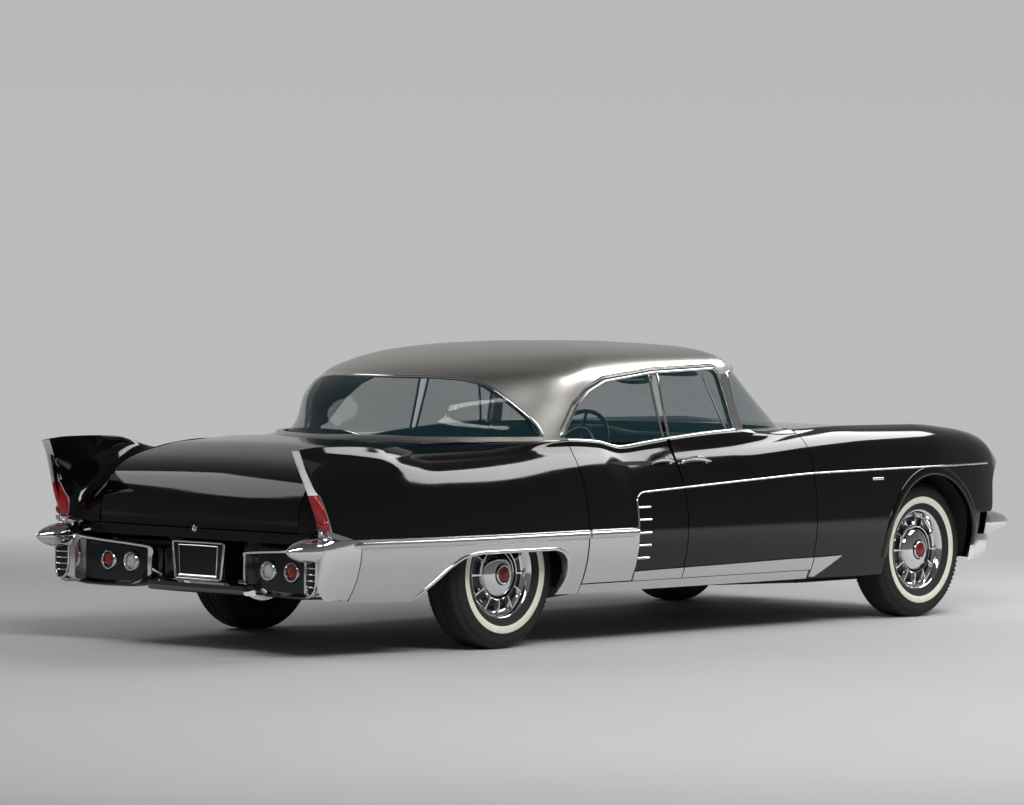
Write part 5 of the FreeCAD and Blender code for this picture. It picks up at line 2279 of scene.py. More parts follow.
    def edge(self, z: float, ahead: float, inner: bool = False) -> Flat:
        """The fin's surface at a height, some way ahead of the trailing edge.

        Args:
            z: the height.
            ahead: how far ahead.
            inner: whether on the inner side.

        Returns:
            Its x and y.
        """
        step = round(ahead / 4) * 4
        key = (step, inner)
        if key not in self.edges:
            points = [self.edge_point(i, step) for i in (range(30, 41) if inner else range(8, 28))]
            self.edges[key] = Spline([((-1 if inner else 1) * p[2], p[0], p[1]) for p in points])
        line = self.edges[key]
        x, y = line.at(max(line.xs[0], min(line.xs[-1] - 0.1, -z if inner else z)))
        return x + ahead - step, y

    def fin_blades(self) -> None:
        """Makes the bright blades down the fins' trailing edges."""
        made, loops = Mesher(), []
        for z in [742] + span(744, 937, 21) + [940]:
            level = min(937.0, z)
            wide = 5 + 27 * ((level - 742) / 195) ** 2
            (x0, y0), (xi, yi) = self.edge(level, 0), self.edge(level, 0, True)
            (xo, yo), (xm, ym), (xn, yn) = (
                self.edge(level, wide), self.edge(level, 16, True), self.edge(level, 32, True)
            )
            yo = max(yo, self.edge(level, max(0.0, xo - xi), True)[1])
            y0 = max(y0, self.edge(level, max(0.0, x0 - xi), True)[1])
            tip = min(x0, xi) - 7
            loops.append([
                (xo, yo - 5, z), (xo, yo + 3, z), (x0, y0 + 4, z),
                (tip + 2, max(min(y0, yi + 4), yi) + 3, z), (tip, yi + 1, z),
                (xi - 4, yi - 4, z), (xm, ym - 5, z), (xn, yn - 4, z), (xn, yn + 4, z),
            ])
        made.loft(loops)
        settle(made.paired().build("fin_blades", [Finish.SATIN], 40), "body", [])

    def vents(self) -> None:
        """Makes the barred vents in the bumper ends."""
        bars, backs = Mesher(), Mesher()
        for side in SIDES:
            part = Mesher()
            path = [(self.face_x(y) - 1, y, z) for y, z in self.vent]
            part.sweep(path, rounded_bar(4, 6, 5), [Vector((-1, 0.1, 0))] * len(path))
            for i in range(4):
                z = 334 + 28 * i
                line = [(self.face_x(y) - 1, y, z) for y in span(778, 847, 12)]
                part.sweep(line, rounded_bar(3.5, 5, 3), [Vector((-1, 0, 0))] * len(line))
            bars.add(sided(part, side))
            # the plates behind the bars are near-black painted shadow inside the vents; the thin
            # strip added after them is the seam line ahead of the bumper corner
            plate = Mesher()
            rows = []
            for z in span(300, 446, 12):
                low = 776 + max(0, 322 - z) * 0.9
                high = 849 - max(0, 322 - z) * 0.9
                ys = [low + (high - low) * k / 8 for k in range(9)]
                rows.append(
                    [(self.face_x(y) - 1.6, y, z) for y in ys]
                    + [(self.face_x(y) + 6, y, z) for y in reversed(ys)]
                )
            plate.loft(rows)
            plate.add(
                self.form.strip([(-2369.5, z) for z in span(262, 496, 20)], rounded_bar(2, 2.5))
            )
            backs.add(sided(plate, side))
        settle(bars.build("vent_bars", [Finish.CHROME]), "body", [])
        settle(backs.build("vent_wells", [Finish.SHADOW]), "body", [])

    def plate(self) -> None:
        """Makes the tail panel's plate holder and the bare panel in it."""
        frame, x = Mesher(), self.plate_x
        corners = ((-168, 494), (168, 494), (146, 324), (-146, 324))
        outer = [(x, y, z) for y, z in divided(corners, (0.03, 0.5, 0.97))]
        inner = [
            (x, y, z) for y, z in (
                (-126, 478), (0, 479), (126, 478), (122, 404), (118, 344), (0, 343), (-118, 344),
                (-122, 404),
            )
        ]
        frame.sweep(outer, rounded_bar(6, 7), [Vector((-1, 0, 0))] * len(outer), ring=True)
        frame.sweep(inner, rounded_bar(3, 6), [Vector((-1, 0, 0))] * len(inner), ring=True)
        foot = [(x, y, 338) for y in (-124, -60, 0, 60, 124)]
        frame.sweep(foot, rounded_bar(7, 9), [Vector((-1, 0, 0))] * len(foot))
        settle(frame.build("plate_frame", [Finish.CHROME]), "body", [])
        panel = Mesher()
        panel.loft(
            [
                [(x, -164, 490), (x, 164, 490), (x, 143, 328), (x, -143, 328)]
                for x in (-2487, -2484.5)
            ]
        )
        settle(panel.build("plate_panel", [Finish.BLACK]), "body", [])

    def build(self) -> None:
        """Makes the whole rear end."""
        self.ends()
        self.lamps()
        self.fin_blades()
        self.vents()
        self.plate()


@dataclass
class FrontEnd:
    """Front bumper, grille and paired headlamps."""

    tip_x: float = 2747.0

    def bumper(self) -> None:
        """Makes the lower blade, the upper bar and the two bullets."""
        rows = Spline(
            [
                (0, 2592), (300, 2584), (560, 2560), (740, 2516), (850, 2450), (892, 2380),
                (906, 2290),
            ]
        )
        loops = []
        for y in [-906, -903, -899] + span(-892, 892, 25) + [899, 903, 906]:
            x = rows.at(abs(y))[0]
            back = x - 60
            loops.append(
                [
                    (back, y, 411), (x - 22, y, 412), (x - 8, y, 406), (x - 5, y, 380),
                    (x - 14, y, 344), (x - 40, y, 308), (x - 66, y, 288), (x - 76, y, 282),
                    (back - 40, y, 280),
                ]
            )
        made = Mesher()
        made.loft(loops)
        bar = []
        for y in span(-752, 752, 24):
            bow = 10 * (1 - (y / 752) ** 2)
            bar.append(
                [
                    (2468, y, 446), (2490 + bow, y, 444), (2500 + bow, y, 452),
                    (2503 + bow, y, 464), (2500 + bow, y, 476), (2490 + bow, y, 484),
                    (2468, y, 482),
                ]
            )
        made.loft(bar)
        for side in SIDES:
            made.add(ogive((2500, side * 752, 464), (self.tip_x, side * 752, 464), 72))
            made.revolve(
                (2500, side * 752, 464),
                [(0, 0.01), (0, 72), (-60, 72), (-130, 70), (-200, 64), (-236, 56), (-236, 0.01)],
                40, "X",
            )
        settle(
            made.build("front_bumper_bright", [Finish.CHROME], 32), "body", ["front_bumper"],
        )

    def grille(self) -> None:
        """Makes the egg-crate grille and its surround."""
        rim = Mesher()
        corners = ((-646, 628), (646, 628), (646, 406), (-646, 406))
        ring = [(2452, y, z) for y, z in divided(corners, (0.01, 0.25, 0.5, 0.75, 0.99))]
        rim.sweep(ring, rounded_bar(10, 12, 14), [Vector((1, 0, 0))] * len(ring), ring=True)
        settle(rim.build("grille_surround", [Finish.CHROME]), "body", ["grille"])
        upright = Mesher()
        upright.loft(
            [
                [(-14, -2.5, z), (6, -2.5, z), (10, 0, z), (6, 2.5, z), (-14, 2.5, z)]
                for z in (-112, 112)
            ]
        )
        row = Repeat(Finish.CHROME).make(
            "grille_uprights", upright, 37, (2452, -630, 517), (0, 35, 0)
        )
        settle(row, "body", [])
        slat = Mesher()
        slat.loft(
            [[(-16, y, -3), (8, y, -3), (13, y, 0), (8, y, 3), (-16, y, 3)] for y in (-640, 640)]
        )
        rows = Repeat(Finish.CHROME).make("grille_slats", slat, 7, (2454, 0, 427), (0, 0, 30))
        settle(rows, "body", [])
        # a near-black block behind the grille: painted shadow in the opening
        back = block(2418, 2426, -640, 640, 404, 632)
        settle(back.build("grille_back", [Finish.SHADOW]), "body", [])
        half = [
            (0, 408), (500, 408), (850, 408), (868, 500), (872, 560), (866, 700), (838, 780),
            (500, 784), (0, 786),
        ]
        outline = half + [(-y, z) for y, z in reversed(half[1:-1])]
        panel = Mesher()
        panel.loft([[(x, y, z) for y, z in outline] for x in (2404, 2411)])
        for z in (648, 770):
            line = [(2411, y, z) for y in span(-498, 498, 60)]
            panel.sweep(line, rounded_bar(5, 5), [Vector((1, 0, 0))] * len(line))
        settle(panel.build("nose_panel", [Finish.BLACK]), "body", [])

    def lamps(self) -> None:
        """Makes the paired headlamps."""
        bright, glass = Mesher(), Mesher()
        for side in SIDES:
            panel = Mesher()
            ring = [
                (582 + 90 * math.cos(a), 716 + 74 * math.sin(a))
                for a in [math.radians(90 + 15 * i) for i in range(13)]
            ]
            ring += [
                (734 + 78 * math.cos(a), 716 + 74 * math.sin(a))
                for a in [math.radians(-90 + 15 * i) for i in range(13)]
            ]
            panel.loft([[(x, y, z) for y, z in ring] for x in (2436, 2452)])
            for y in (582, 734):
                panel.revolve(
                    (2452, y, 716),
                    ((0, 78), (14, 78), (26, 75), (34, 70), (35, 66), (28, 64), (10, 66), (0, 68)),
                    44, "X",
                )
                lens = [
                    (0.0, 0.01), (0, 66), (22, 66), (27, 62), (33, 48), (37, 30), (39.5, 12),
                    (40, 0.01),
                ]
                glass.revolve((2450, side * y, 716), lens, 40, "X")
            bright.add(sided(panel, side))
        settle(bright.build("headlamp_bezels", [Finish.CHROME]), "body", [])
        settle(
            glass.build("headlamp_lenses", [Finish.CLEAR_LENS]), "body", ["headlamps"]
        )

    def build(self) -> None:
        """Makes the whole front end."""
        self.bumper()
        self.grille()
        self.lamps()


# ================================================================ bright trim
@dataclass
class SteelTrim:
    """Mouldings, louvres, cladding, rockers and handles on the body sides."""

    form: BodyForm
    panels: SidePanels
    clad_front: float = -545.0
    rocker_top: tuple = ((-560, 332), (-517, 333), (122, 341), (798, 348), (840, 348))
    moulding: tuple = (
        (-498, 705), (-300, 714), (103, 733), (450, 749), (818, 764), (1400, 772), (2000, 778),
        (2380, 781),
    )

    def cuts(self) -> list[tuple[str, float, float]]:
        """The body on each stretch of the side, with its limits."""
        p = self.panels
        return [
            ("rear_door_", p.rear_shut + HALF_GAP, p.centre_shut - HALF_GAP),
            ("front_door_", p.centre_shut + HALF_GAP, p.front_shut - HALF_GAP),
            ("body", p.front_shut + HALF_GAP, 2380),
        ]

    def fit(self, part: Mesher, side: int, body: str, kind: str, finish: Finish) -> None:
        """Builds one stretch of trim and gives it to its body.

        Args:
            part: its left-hand shape.
            side: 1 for left, -1 for right.
            body: the stretch's name in cuts.
            kind: the start of the piece's name.
            finish: its finish.
        """
        piece = sided(part, side).build("%s_%s_%s" % (kind, body.strip("_"), word(side)), [finish])
        settle(piece, owner(body, side), [])

    def line(self, x: float) -> float:
        """Height of the side moulding at x."""
        return Spline(self.moulding).at(x)[0]

    def mouldings(self) -> None:
        """Makes the side moulding, split at the door gaps."""
        for side in SIDES:
            for body, x0, x1 in self.cuts():
                start = max(x0, -470.0)
                path = [(x, self.line(x)) for x in span(start, x1, 40)]
                if body == "rear_door_":
                    rise = self.line(-470) - 662
                    bend = [math.radians(90 - 11.25 * i) for i in range(8)]
                    corner = [(-470 - 72 * math.sin(a), 662 + rise * math.cos(a)) for a in bend]
                    path = [(-547, 352), (-546, 450), (-545, 560)] + corner + path
                if body == "body":
                    path[-1] = (2372, 781)
                part = self.form.strip(path, rounded_bar(5, 5))
                self.fit(part, side, body, "side_moulding", Finish.CHROME)

    def louvres(self) -> None:
        """Makes the five short bars behind the side moulding's upright."""
        for side in SIDES:
            made = Mesher()
            for z in (635, 576, 514, 455, 395):
                path = [(x, z) for x in span(-545, -458, 22)]
                made.add(self.form.strip(path, rounded_bar(6, 9)))
            piece = sided(made, side).build("door_louvres_" + word(side), [Finish.CHROME])
            settle(piece, "rear_door_" + word(side), [])
            bar = sided(
                self.form.strip(
                    [(x, 725) for x in (1300, 1322, 1346, 1370, 1392)], rounded_bar(7, 5)
                ),
                side,
            )
            settle(bar.build("wing_bar_" + word(side), [Finish.CHROME]), "body", [])

    def cladding(self) -> None:
        """Makes the steel cladding on the rear doors, with its rib carried along the quarters."""
        rear = self.panels.rear_shut
        for side in SIDES:
            rows = []
            for x in span(rear + 3, self.clad_front, 24):
                tip = max(0.0, 1 - ((self.clad_front - x) / 60))
                top = 538 - 26 * tip ** 3
                rows.append([(x, z) for z in span(self.panels.door_bottom + 1, top, 18)][:40])
            count = min(len(r) for r in rows)
            rows = [
                [(x, low + (high - low) * i / (count - 1)) for i in range(count)]
                for (x, low), (_, high) in ((row[0], row[-1]) for row in rows)
            ]
            part = self.form.patch(rows, 2.5, 4.0)
            part.add(self.rib(rear + 14, self.clad_front - 4))
            piece = sided(part, side).build("door_cladding_" + word(side), [Finish.PANEL_STEEL])
            settle(piece, "rear_door_" + word(side), [])
        long_ribs = self.rib(-2374, rear - 6).paired()
        settle(long_ribs.build("quarter_ribs", [Finish.PANEL_STEEL]), "body", [])

    def rib(self, x0: float, x1: float) -> Mesher:
        """The double line along the top of the steel.

        Args:
            x0: rear end.
            x1: front end.

        Returns:
            The mesher.
        """
        made = Mesher()
        for z, half, proud in ((539, 2.5, 6), (516, 18, 11)):
            path = [(x, z) for x in span(x0, x1, 30)]
            if x1 > -700:
                path[-2:] = [(x1 - 22, z - 1), (x1, z - (8 if z > 530 else 0))]
            made.add(self.form.strip(path, rounded_bar(half, proud)))
        return made

    def rockers(self) -> None:
        """Makes the rounded rocker mouldings on the doors and the tip on the wing."""
        for side in SIDES:
            for body, x0, x1 in self.cuts():
                rows = []
                if body == "body":
                    for x in span(x0, 1052, 20):
                        top, low = 348 + (x - x0) / 80, 252 + max(0.0, x - 872) * 0.53
                        rows.append([(x, low + (top - low) * i / 10) for i in range(11)])
                    part = self.form.patch(rows, 9.0, 12.0)
                else:
                    for x in span(max(x0, -542.0), x1, 40):
                        top = Spline(self.rocker_top).at(x)[0]
                        rows.append([(x, 289 + (top - 289) * i / 8) for i in range(9)])
                    part = self.form.patch(rows, 8.0, 10.0)
                self.fit(part, side, body, "rocker", Finish.PANEL_STEEL)

    def belts(self) -> None:
        """Makes the bright strip along the foot of the side windows."""
        for side in SIDES:
            for body, x0, x1 in self.cuts()[:2]:
                path = []
                for x in span(x0, min(x1, 352), 16):
                    _, y, z = self.form.keys(x)[5]
                    path.append((x, y - 4, z + 3))
                made = Mesher()
                made.sweep(path, rounded_bar(9, 6, 4), [Vector((0, 0.5, 1))] * len(path))
                self.fit(made, side, body, "belt", Finish.CHROME)

    def handles(self) -> None:
        """Makes the door handles, pointed and set either side of the door gap."""
        for side in SIDES:
            for body, x0, x1 in (("rear_door_", -372, -205), ("front_door_", 58, -150)):
                loops = []
                way = 1 if x1 > x0 else -1
                for t in shares(14):
                    x = x0 + (x1 - x0) * t
                    z = 834 + 10 * math.sin(math.pi * t) + (x - x0) * 0.02 * way
                    half = 2.5 + 8.5 * math.sin(math.pi * min(1, t * 0.9 + 0.05))
                    stand = 6 + 16 * math.sin(math.pi * (0.08 + 0.84 * t))
                    base = Vector(self.form.at(x, z, stand))
                    out, up = self.form.normal(x, z), Vector((0, 0, 1))
                    loops.append([
                        tuple(base + out * 7 * math.cos(a) + up * half * math.sin(a))
                        for a in around(10)
                    ])
                made = Mesher()
                made.loft(loops)
                for x in (x0 + 16 * way, x1 - 14 * way):
                    a, b = (Vector(self.form.at(x, 838, off)) for off in (-3, 14))
                    out = (b - a).normalized()
                    across = out.cross(Vector((0, 0, 1))).normalized()
                    up = across.cross(out)
                    made.loft([
                        [
                            tuple(p + across * r * math.cos(t) + up * r * 0.8 * math.sin(t))
                            for t in around(16)
                        ]
                        for p, r in ((a, 14), (a + out * 6, 13), (b, 8))
                    ])
                piece = sided(made, side).build("%shandle_%s" % (body, word(side)), [Finish.CHROME])
                settle(piece, body + word(side), [])

    def arch_lips(self) -> None:
        """Makes the flared lip over the front wheel and the bright lip round the rear opening."""
        p = self.panels
        opening = [(x, z + 3) for x, z in eased(p.rear_arch, 24) if z > 250]
        lips = self.form.strip(opening, rounded_bar(9, 7)).paired()
        ring = []
        for a in range(-8, 189, 6):
            r = p.arch_radius + 14
            x = FRONT_AXLE + r * math.cos(math.radians(a))
            z = p.arch_z + r * math.sin(math.radians(a))
            if z > 300:
                ring.append((x, z))
        flares = self.form.strip(ring, rounded_bar(24, 6, 4, 8)).paired()
        settle(lips.build("rear_arch_lips", [Finish.CHROME]), "body", [])
        settle(flares.build("front_arch_flares", [Finish.BLACK]), "body", [])

    def liners(self) -> None:
        """Makes the front wheel liners inside the wings and the sheet that closes each wing ahead
        of its wheel, in near-black painted shadow.
        """
        made = Mesher()
        centre_x, centre_z, foot = FRONT_AXLE, self.panels.arch_z, 318.0
        loops = []
        for a in range(-6, 187, 6):
            c, s = math.cos(math.radians(a)), math.sin(math.radians(a))
            corners = [(404.0, y) for y in (455, 660, 905)] + [(410.0, y) for y in (905, 660, 455)]
            loops.append([(centre_x + r * c, y, max(centre_z + r * s, foot)) for r, y in corners])
        made.loft(loops)
        wall = []
        for x in span(centre_x - 404, centre_x + 404, 40):
            top = centre_z + math.sqrt(max(0.0, 408 ** 2 - (x - centre_x) ** 2))
            low = 490.0 if abs(x - centre_x) < 120 else foot
            top = max(top, low + 4)
            half_way = (low + top) / 2
            wall.append([
                (x, 455, low), (x, 448, half_way), (x, 455, top), (x, 449, top), (x, 442, half_way),
                (x, 449, low),
            ])
        made.loft(wall)
        # the sheet that closes the wing ahead of the wheel: painted shadow
        made.add(block(2266, 2272, 452, 868, 300, 532))
        settle(made.paired().build("wheel_liners", [Finish.SHADOW]), "body", [])

    def build(self) -> None:
        """Makes all the side trim."""
        self.liners()
        self.mouldings()
        self.louvres()
        self.cladding()
        self.rockers()
        self.belts()
        self.handles()
        self.arch_lips()


# ================================================================ cabin
@dataclass
class Seat:
    """One bench seat: pleated cushion and back with crowned tops, bolsters and piping."""

    name: str
    node: str
    cushion: tuple                  # front x, rear x, under z, top z
    back: tuple                     # foot x, foot z, head x, head z, thickness
    half: float
    pleats: int = 22
    crown: float = 20.0
    stations: int = 150
    bolster: float = 130.0

    def profile(self, y: float, outline: Callable[[float, float], Flat], steps: int) -> list[Point]:
        """One section across the seat."""
        points = [outline(a, y) for a in around(steps)]
        return [(x, y, z) for x, z in points]

    def pleated(self, y: float) -> float:
        """Depth of the pleats at y, nil on the bolsters and along the middle.

        Args:
            y: place across the car.

        Returns:
            The depth.
        """
        wide = self.half - self.bolster
        if abs(y) > wide or abs(y) < 70:
            return 0.0
        return 7.0 * (
            1 - abs(math.sin(math.pi * self.pleats * (abs(y) - 70) / (2 * (wide - 70)))) ** 0.6
        )

    def rounding(self, y: float) -> float:
        """How much a section shrinks towards the seat's ends."""
        t = min(1.0, (self.half - abs(y)) / 45)
        return 0.80 + 0.20 * math.sqrt(max(0.0, 1 - (1 - t) ** 2))

    def cushion_outline(self, a: float, y: float) -> Flat:
        """Cushion section: a rounded slab, thicker in front, crowned on top.

        Args:
            a: angle round the section.
            y: place across the car.

        Returns:
            The point's x and z.
        """
        xf, xr, low, top = self.cushion
        grow = self.rounding(y)
        cx, cz = (xf + xr) / 2, (low + top) / 2
        c, s = math.cos(a), math.sin(a)
        ex = math.copysign(abs(c) ** 0.45, c) * (xf - xr) / 2 * grow
        ez = math.copysign(abs(s) ** 0.55, s) * (top - low) / 2 * grow
        t = ex / (xf - xr) + 0.5
        if s > 0:
            lobes = 1 - abs(abs(y) / self.half - 0.5) * 0.8
            ez += (
                self.crown * s * lobes * math.sin(math.pi * min(1, max(0, t))) - self.pleated(y) * s
                - 18 * (1 - t) * s
            )
        return (cx + ex, cz + ez)

    def back_outline(self, a: float, y: float) -> Flat:
        """Back section: a leaning slab with a rolled head, full towards the front.

        Args:
            a: angle round the section.
            y: place across the car.

        Returns:
            The point's x and z.
        """
        fx, fz, hx, hz, thick = self.back
        grow = self.rounding(y)
        c, s = math.cos(a), math.sin(a)
        along = math.copysign(abs(s) ** 0.42, s) * 0.5 * (0.94 + 0.06 * grow)
        across = math.copysign(abs(c) ** 0.6, c) * thick / 2 * grow
        if c > 0:
            lobes = 1 - abs(abs(y) / self.half - 0.5) * 0.8
            across += self.crown * 0.8 * c * lobes * (1 - (2 * along) ** 2) - self.pleated(y) * c
        length = math.hypot(hx - fx, hz - fz)
        ux, uz = (hx - fx) / length, (hz - fz) / length
        mx, mz = (fx + hx) / 2, (fz + hz) / 2
        return (mx + ux * along * length + uz * across, mz + uz * along * length - ux * across)

    def build(self) -> None:
        """Makes the seat's pads, its piping and its base."""
        count = self.stations
        ys = [-self.half + 2 * self.half * i / count for i in range(count + 1)]
        wide = self.half - self.bolster
        for part, outline in (("cushion", self.cushion_outline), ("back", self.back_outline)):

            def inset(i: int, j: int) -> int:
                """Pale on the pleated face."""
                faced = 2 < j < 20 if part == "cushion" else j < 9 or j > 34
                return 1 if faced and abs(ys[i] + self.half / count) < wide else 0

            made = Mesher()
            made.loft([self.profile(y, outline, 44) for y in ys], inset)
            piece = made.build("%s_%s" % (self.name, part), [Finish.HIDE, Finish.PALE_HIDE], 60)
            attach(piece, "body")
            if part == "cushion":
                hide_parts(self.node)
            log.info("%s: %d faces", piece.name, len(piece.data.polygons))
        piping = Mesher()
        cord = [(4.5 * math.cos(a), 4.5 * math.sin(a)) for a in [math.pi * k / 3 for k in range(6)]]
        for outline, angle in (
            (self.cushion_outline, 0.30), (self.cushion_outline, math.pi - 0.35),
            (self.back_outline, 1.25), (self.back_outline, 1.9),
        ):
            path = []
            for y in ys[2:-2:3]:
                x, z = outline(angle, y)
                path.append((x, y, z))
            piping.sweep(path, cord, [Vector((0, 0, 1))] * len(path))
        settle(piping.build(self.name + "_piping", [Finish.HIDE]), "body", [])
        xf, xr, low, _ = self.cushion
        base = Mesher()
        floor = 276.0 if self.name == "front_bench" else 472.0
        for side in SIDES:
            base.add(sided(block(xr + 60, xf - 40, 160, self.half - 60, floor, low + 30), side))
        settle(base.build(self.name + "_base", [Finish.CARPET]), "body", [])


@dataclass
class Cabin:
    """Seats, dashboard, steering wheel and door trims."""

    form: BodyForm
    wheel_centre: tuple = (548.0, 375.0, 855.4)
    wheel_axis: tuple = (-0.906308, 0.0, 0.422618)

    def dashboard(self) -> None:
        """Makes the padded top, the face with its instruments and the lower panel."""
        made = Mesher()
        loops = []
        for y in span(-700, 700, 20):
            hood = 26 * math.exp(-((y - 375) / 190) ** 4)
            bow = 30 * (1 - (y / 700) ** 2)
            x = 668 - bow
            ends = 1 - max(0, abs(y) - 640) / 60 * 0.12
            loops.append([
                (820, y, 938 * ends), (x + 40, y, 946 * ends + hood), (x - 6, y, 943 * ends + hood),
                (x - 22, y, 930 * ends + hood), (x - 20, y, 914 + hood * 0.6),
                (x - 2, y, 906), (x + 6, y, 872), (x + 2, y, 836), (x - 8, y, 826), (x - 6, y, 806),
                (x + 10, y, 792), (x + 26, y, 704), (x + 60, y, 700), (820, y, 760),
            ])
        made.loft(loops, lambda i, j: {6: 1, 8: 2}.get(j, 0))
        piece = made.build("dashboard_panel", [Finish.DASH, Finish.PANEL_STEEL, Finish.CHROME], 50)
        settle(piece, "body", ["dashboard"])
        dials = Mesher()
        for y, r in ((375, 62), (505, 34), (245, 34), (-60, 40)):
            x = 668 - 30 * (1 - (y / 700) ** 2) + 4
            dials.revolve(
                (x, y, 868),
                ((0, r), (-8, r), (-11, r - 3), (-11, r - 6), (-6, r - 8), (-4, 0.01), (0, 0.01)),
                32, "X",
            )
        settle(dials.build("dash_dials", [Finish.CHROME]), "body", [])
        knob = Mesher()
        knob.revolve(
            (0, 0, 0), ((0, 9), (-10, 8), (-16, 11), (-24, 10), (-27, 6), (-28, 0.01), (0, 0.01)),
            16, "X",
        )
        knobs = Repeat(Finish.CHROME).make("dash_knobs", knob, 6, (640, -250, 818), (0, 42, 0))
        settle(knobs, "body", [])
        column = Mesher()
        centre, axis = Vector(self.wheel_centre), Vector(self.wheel_axis)
        side, up = Vector((0, 1, 0)), axis.cross(Vector((0, 1, 0)))
        for (t0, r0), (t1, r1) in (((-40, 30), (-150, 34)), ((-150, 24), (-700, 22))):
            rings = []
            for t, r in ((t0, r0 - 4), (t0 - 4, r0), (t1 + 4, r1), (t1, r1 - 4)):
                rings.append([
                    tuple(centre + axis * t + side * r * math.cos(a) + up * r * math.sin(a))
                    for a in around(20)
                ])
            column.loft(rings)
        settle(column.build("steering_column", [Finish.DASH]), "body", [])

    def steering_wheel(self) -> None:
        """Makes the rim with its finger grips, the spokes, horn ring and hub."""
        centre, axis = Vector(self.wheel_centre), Vector(self.wheel_axis)
        side, up = Vector((0, 1, 0)), axis.cross(Vector((0, 1, 0)))

        def place(r: float, a: float, t: float) -> Point:
            """The point at a radius, an angle and a place along the axis."""
            return tuple(centre + side * r * math.cos(a) + up * r * math.sin(a) + axis * t)

        rim, bright = Mesher(), Mesher()
        for made, radius, thick, lift, steps in ((rim, 204, 11, 0, 96), (bright, 112, 4.5, 4, 64)):
            loops = []
            for a in around(steps):
                r = thick * (1 + (0.07 * math.cos(24 * a) if thick > 8 else 0))
                loops.append(
                    [place(radius + r * math.cos(b), a, lift + r * math.sin(b)) for b in around(12)]
                )
            made.rows(loops, loop=True, ring=True)
        for a in (0.12, math.pi - 0.12, -math.pi / 2):
            loops = []
            for t in shares(8):
                r, wide = 20 + 180 * t, 17 - 8 * t
                dip = -22 * math.sin(math.pi * (1 - t) * 0.5) ** 2
                c, s = math.cos(a), math.sin(a)
                middle = centre + side * r * c + up * r * s + axis * dip
                across = -side * s + up * c
                loops.append([
                    tuple(middle + across * wide * math.cos(b) + axis * 5 * math.sin(b))
                    for b in around(10)
                ])
            rim.loft(loops)
        profile = ((-38, 0.01), (-38, 30), (-24, 40), (-8, 42), (2, 34), (8, 20), (10, 0.01))
        rings = [[place(r, a, t) for a in around(32)] for t, r in profile]
        bright.rows(rings, loop=True)
        settle(
            rim.build("steering_wheel_rim", [Finish.DASH]), "steering_wheel", ["steering_wheel"],
        )
        settle(bright.build("horn_ring", [Finish.CHROME]), "steering_wheel", [])

    def door_trims(self) -> None:
        """Makes the trim panels and armrests on the doors' inner faces."""
        for side in SIDES:
            for body, x0, x1 in (("rear_door_", -850.0, -240.0), ("front_door_", -110.0, 330.0)):
                panel = Mesher()
                rows = []
                for x in span(x0, x1, 22):
                    y = self.form.at(x, 640, 0)[1] - 80
                    tuck = 5 * abs(math.sin(math.pi * (x - x0) / 44))
                    rows.append(
                        [(x, y - 3 - (tuck if 640 < z < 800 else 4), z) for z in span(330, 850, 26)]
                    )
                back = [
                    [(x, min(y + 12, self.form.at(x, 640, 0)[1] - 74), z) for x, y, z in row]
                    for row in rows
                ]
                panel.loft([list(a) + list(reversed(b)) for a, b in zip(rows, back)])
                arm = []
                for t in shares(12):
                    x = x0 + 90 + (x1 - x0 - 180) * t
                    grow = math.sin(math.pi * (0.08 + 0.84 * t)) ** 0.4
                    y = self.form.at(x, 640, 0)[1] - 86
                    arm.append(
                        [
                            (x, y - 26 + 30 * math.cos(a) * grow, 628 + 20 * math.sin(a) * grow)
                            for a in around(14)
                        ]
                    )
                panel.loft(arm)
                piece = sided(panel, side).build(
                    "%strim_%s" % (body, word(side)), [Finish.HIDE], 45
                )
                settle(piece, body + word(side), [])

    def build(self) -> None:
        """Makes the whole cabin."""
        Seat(
            "front_bench", "front_seat", (150, -330, 410, 565), (-330, 470, -405, 846, 105), 640
        ).build()
        Seat(
            "rear_bench", "rear_seat", (-612, -1080, 476, 562), (-985, 500, -1080, 872, 115), 615,
            crown=14.0,
        ).build()
        self.dashboard()
        self.steering_wheel()
        self.door_trims()


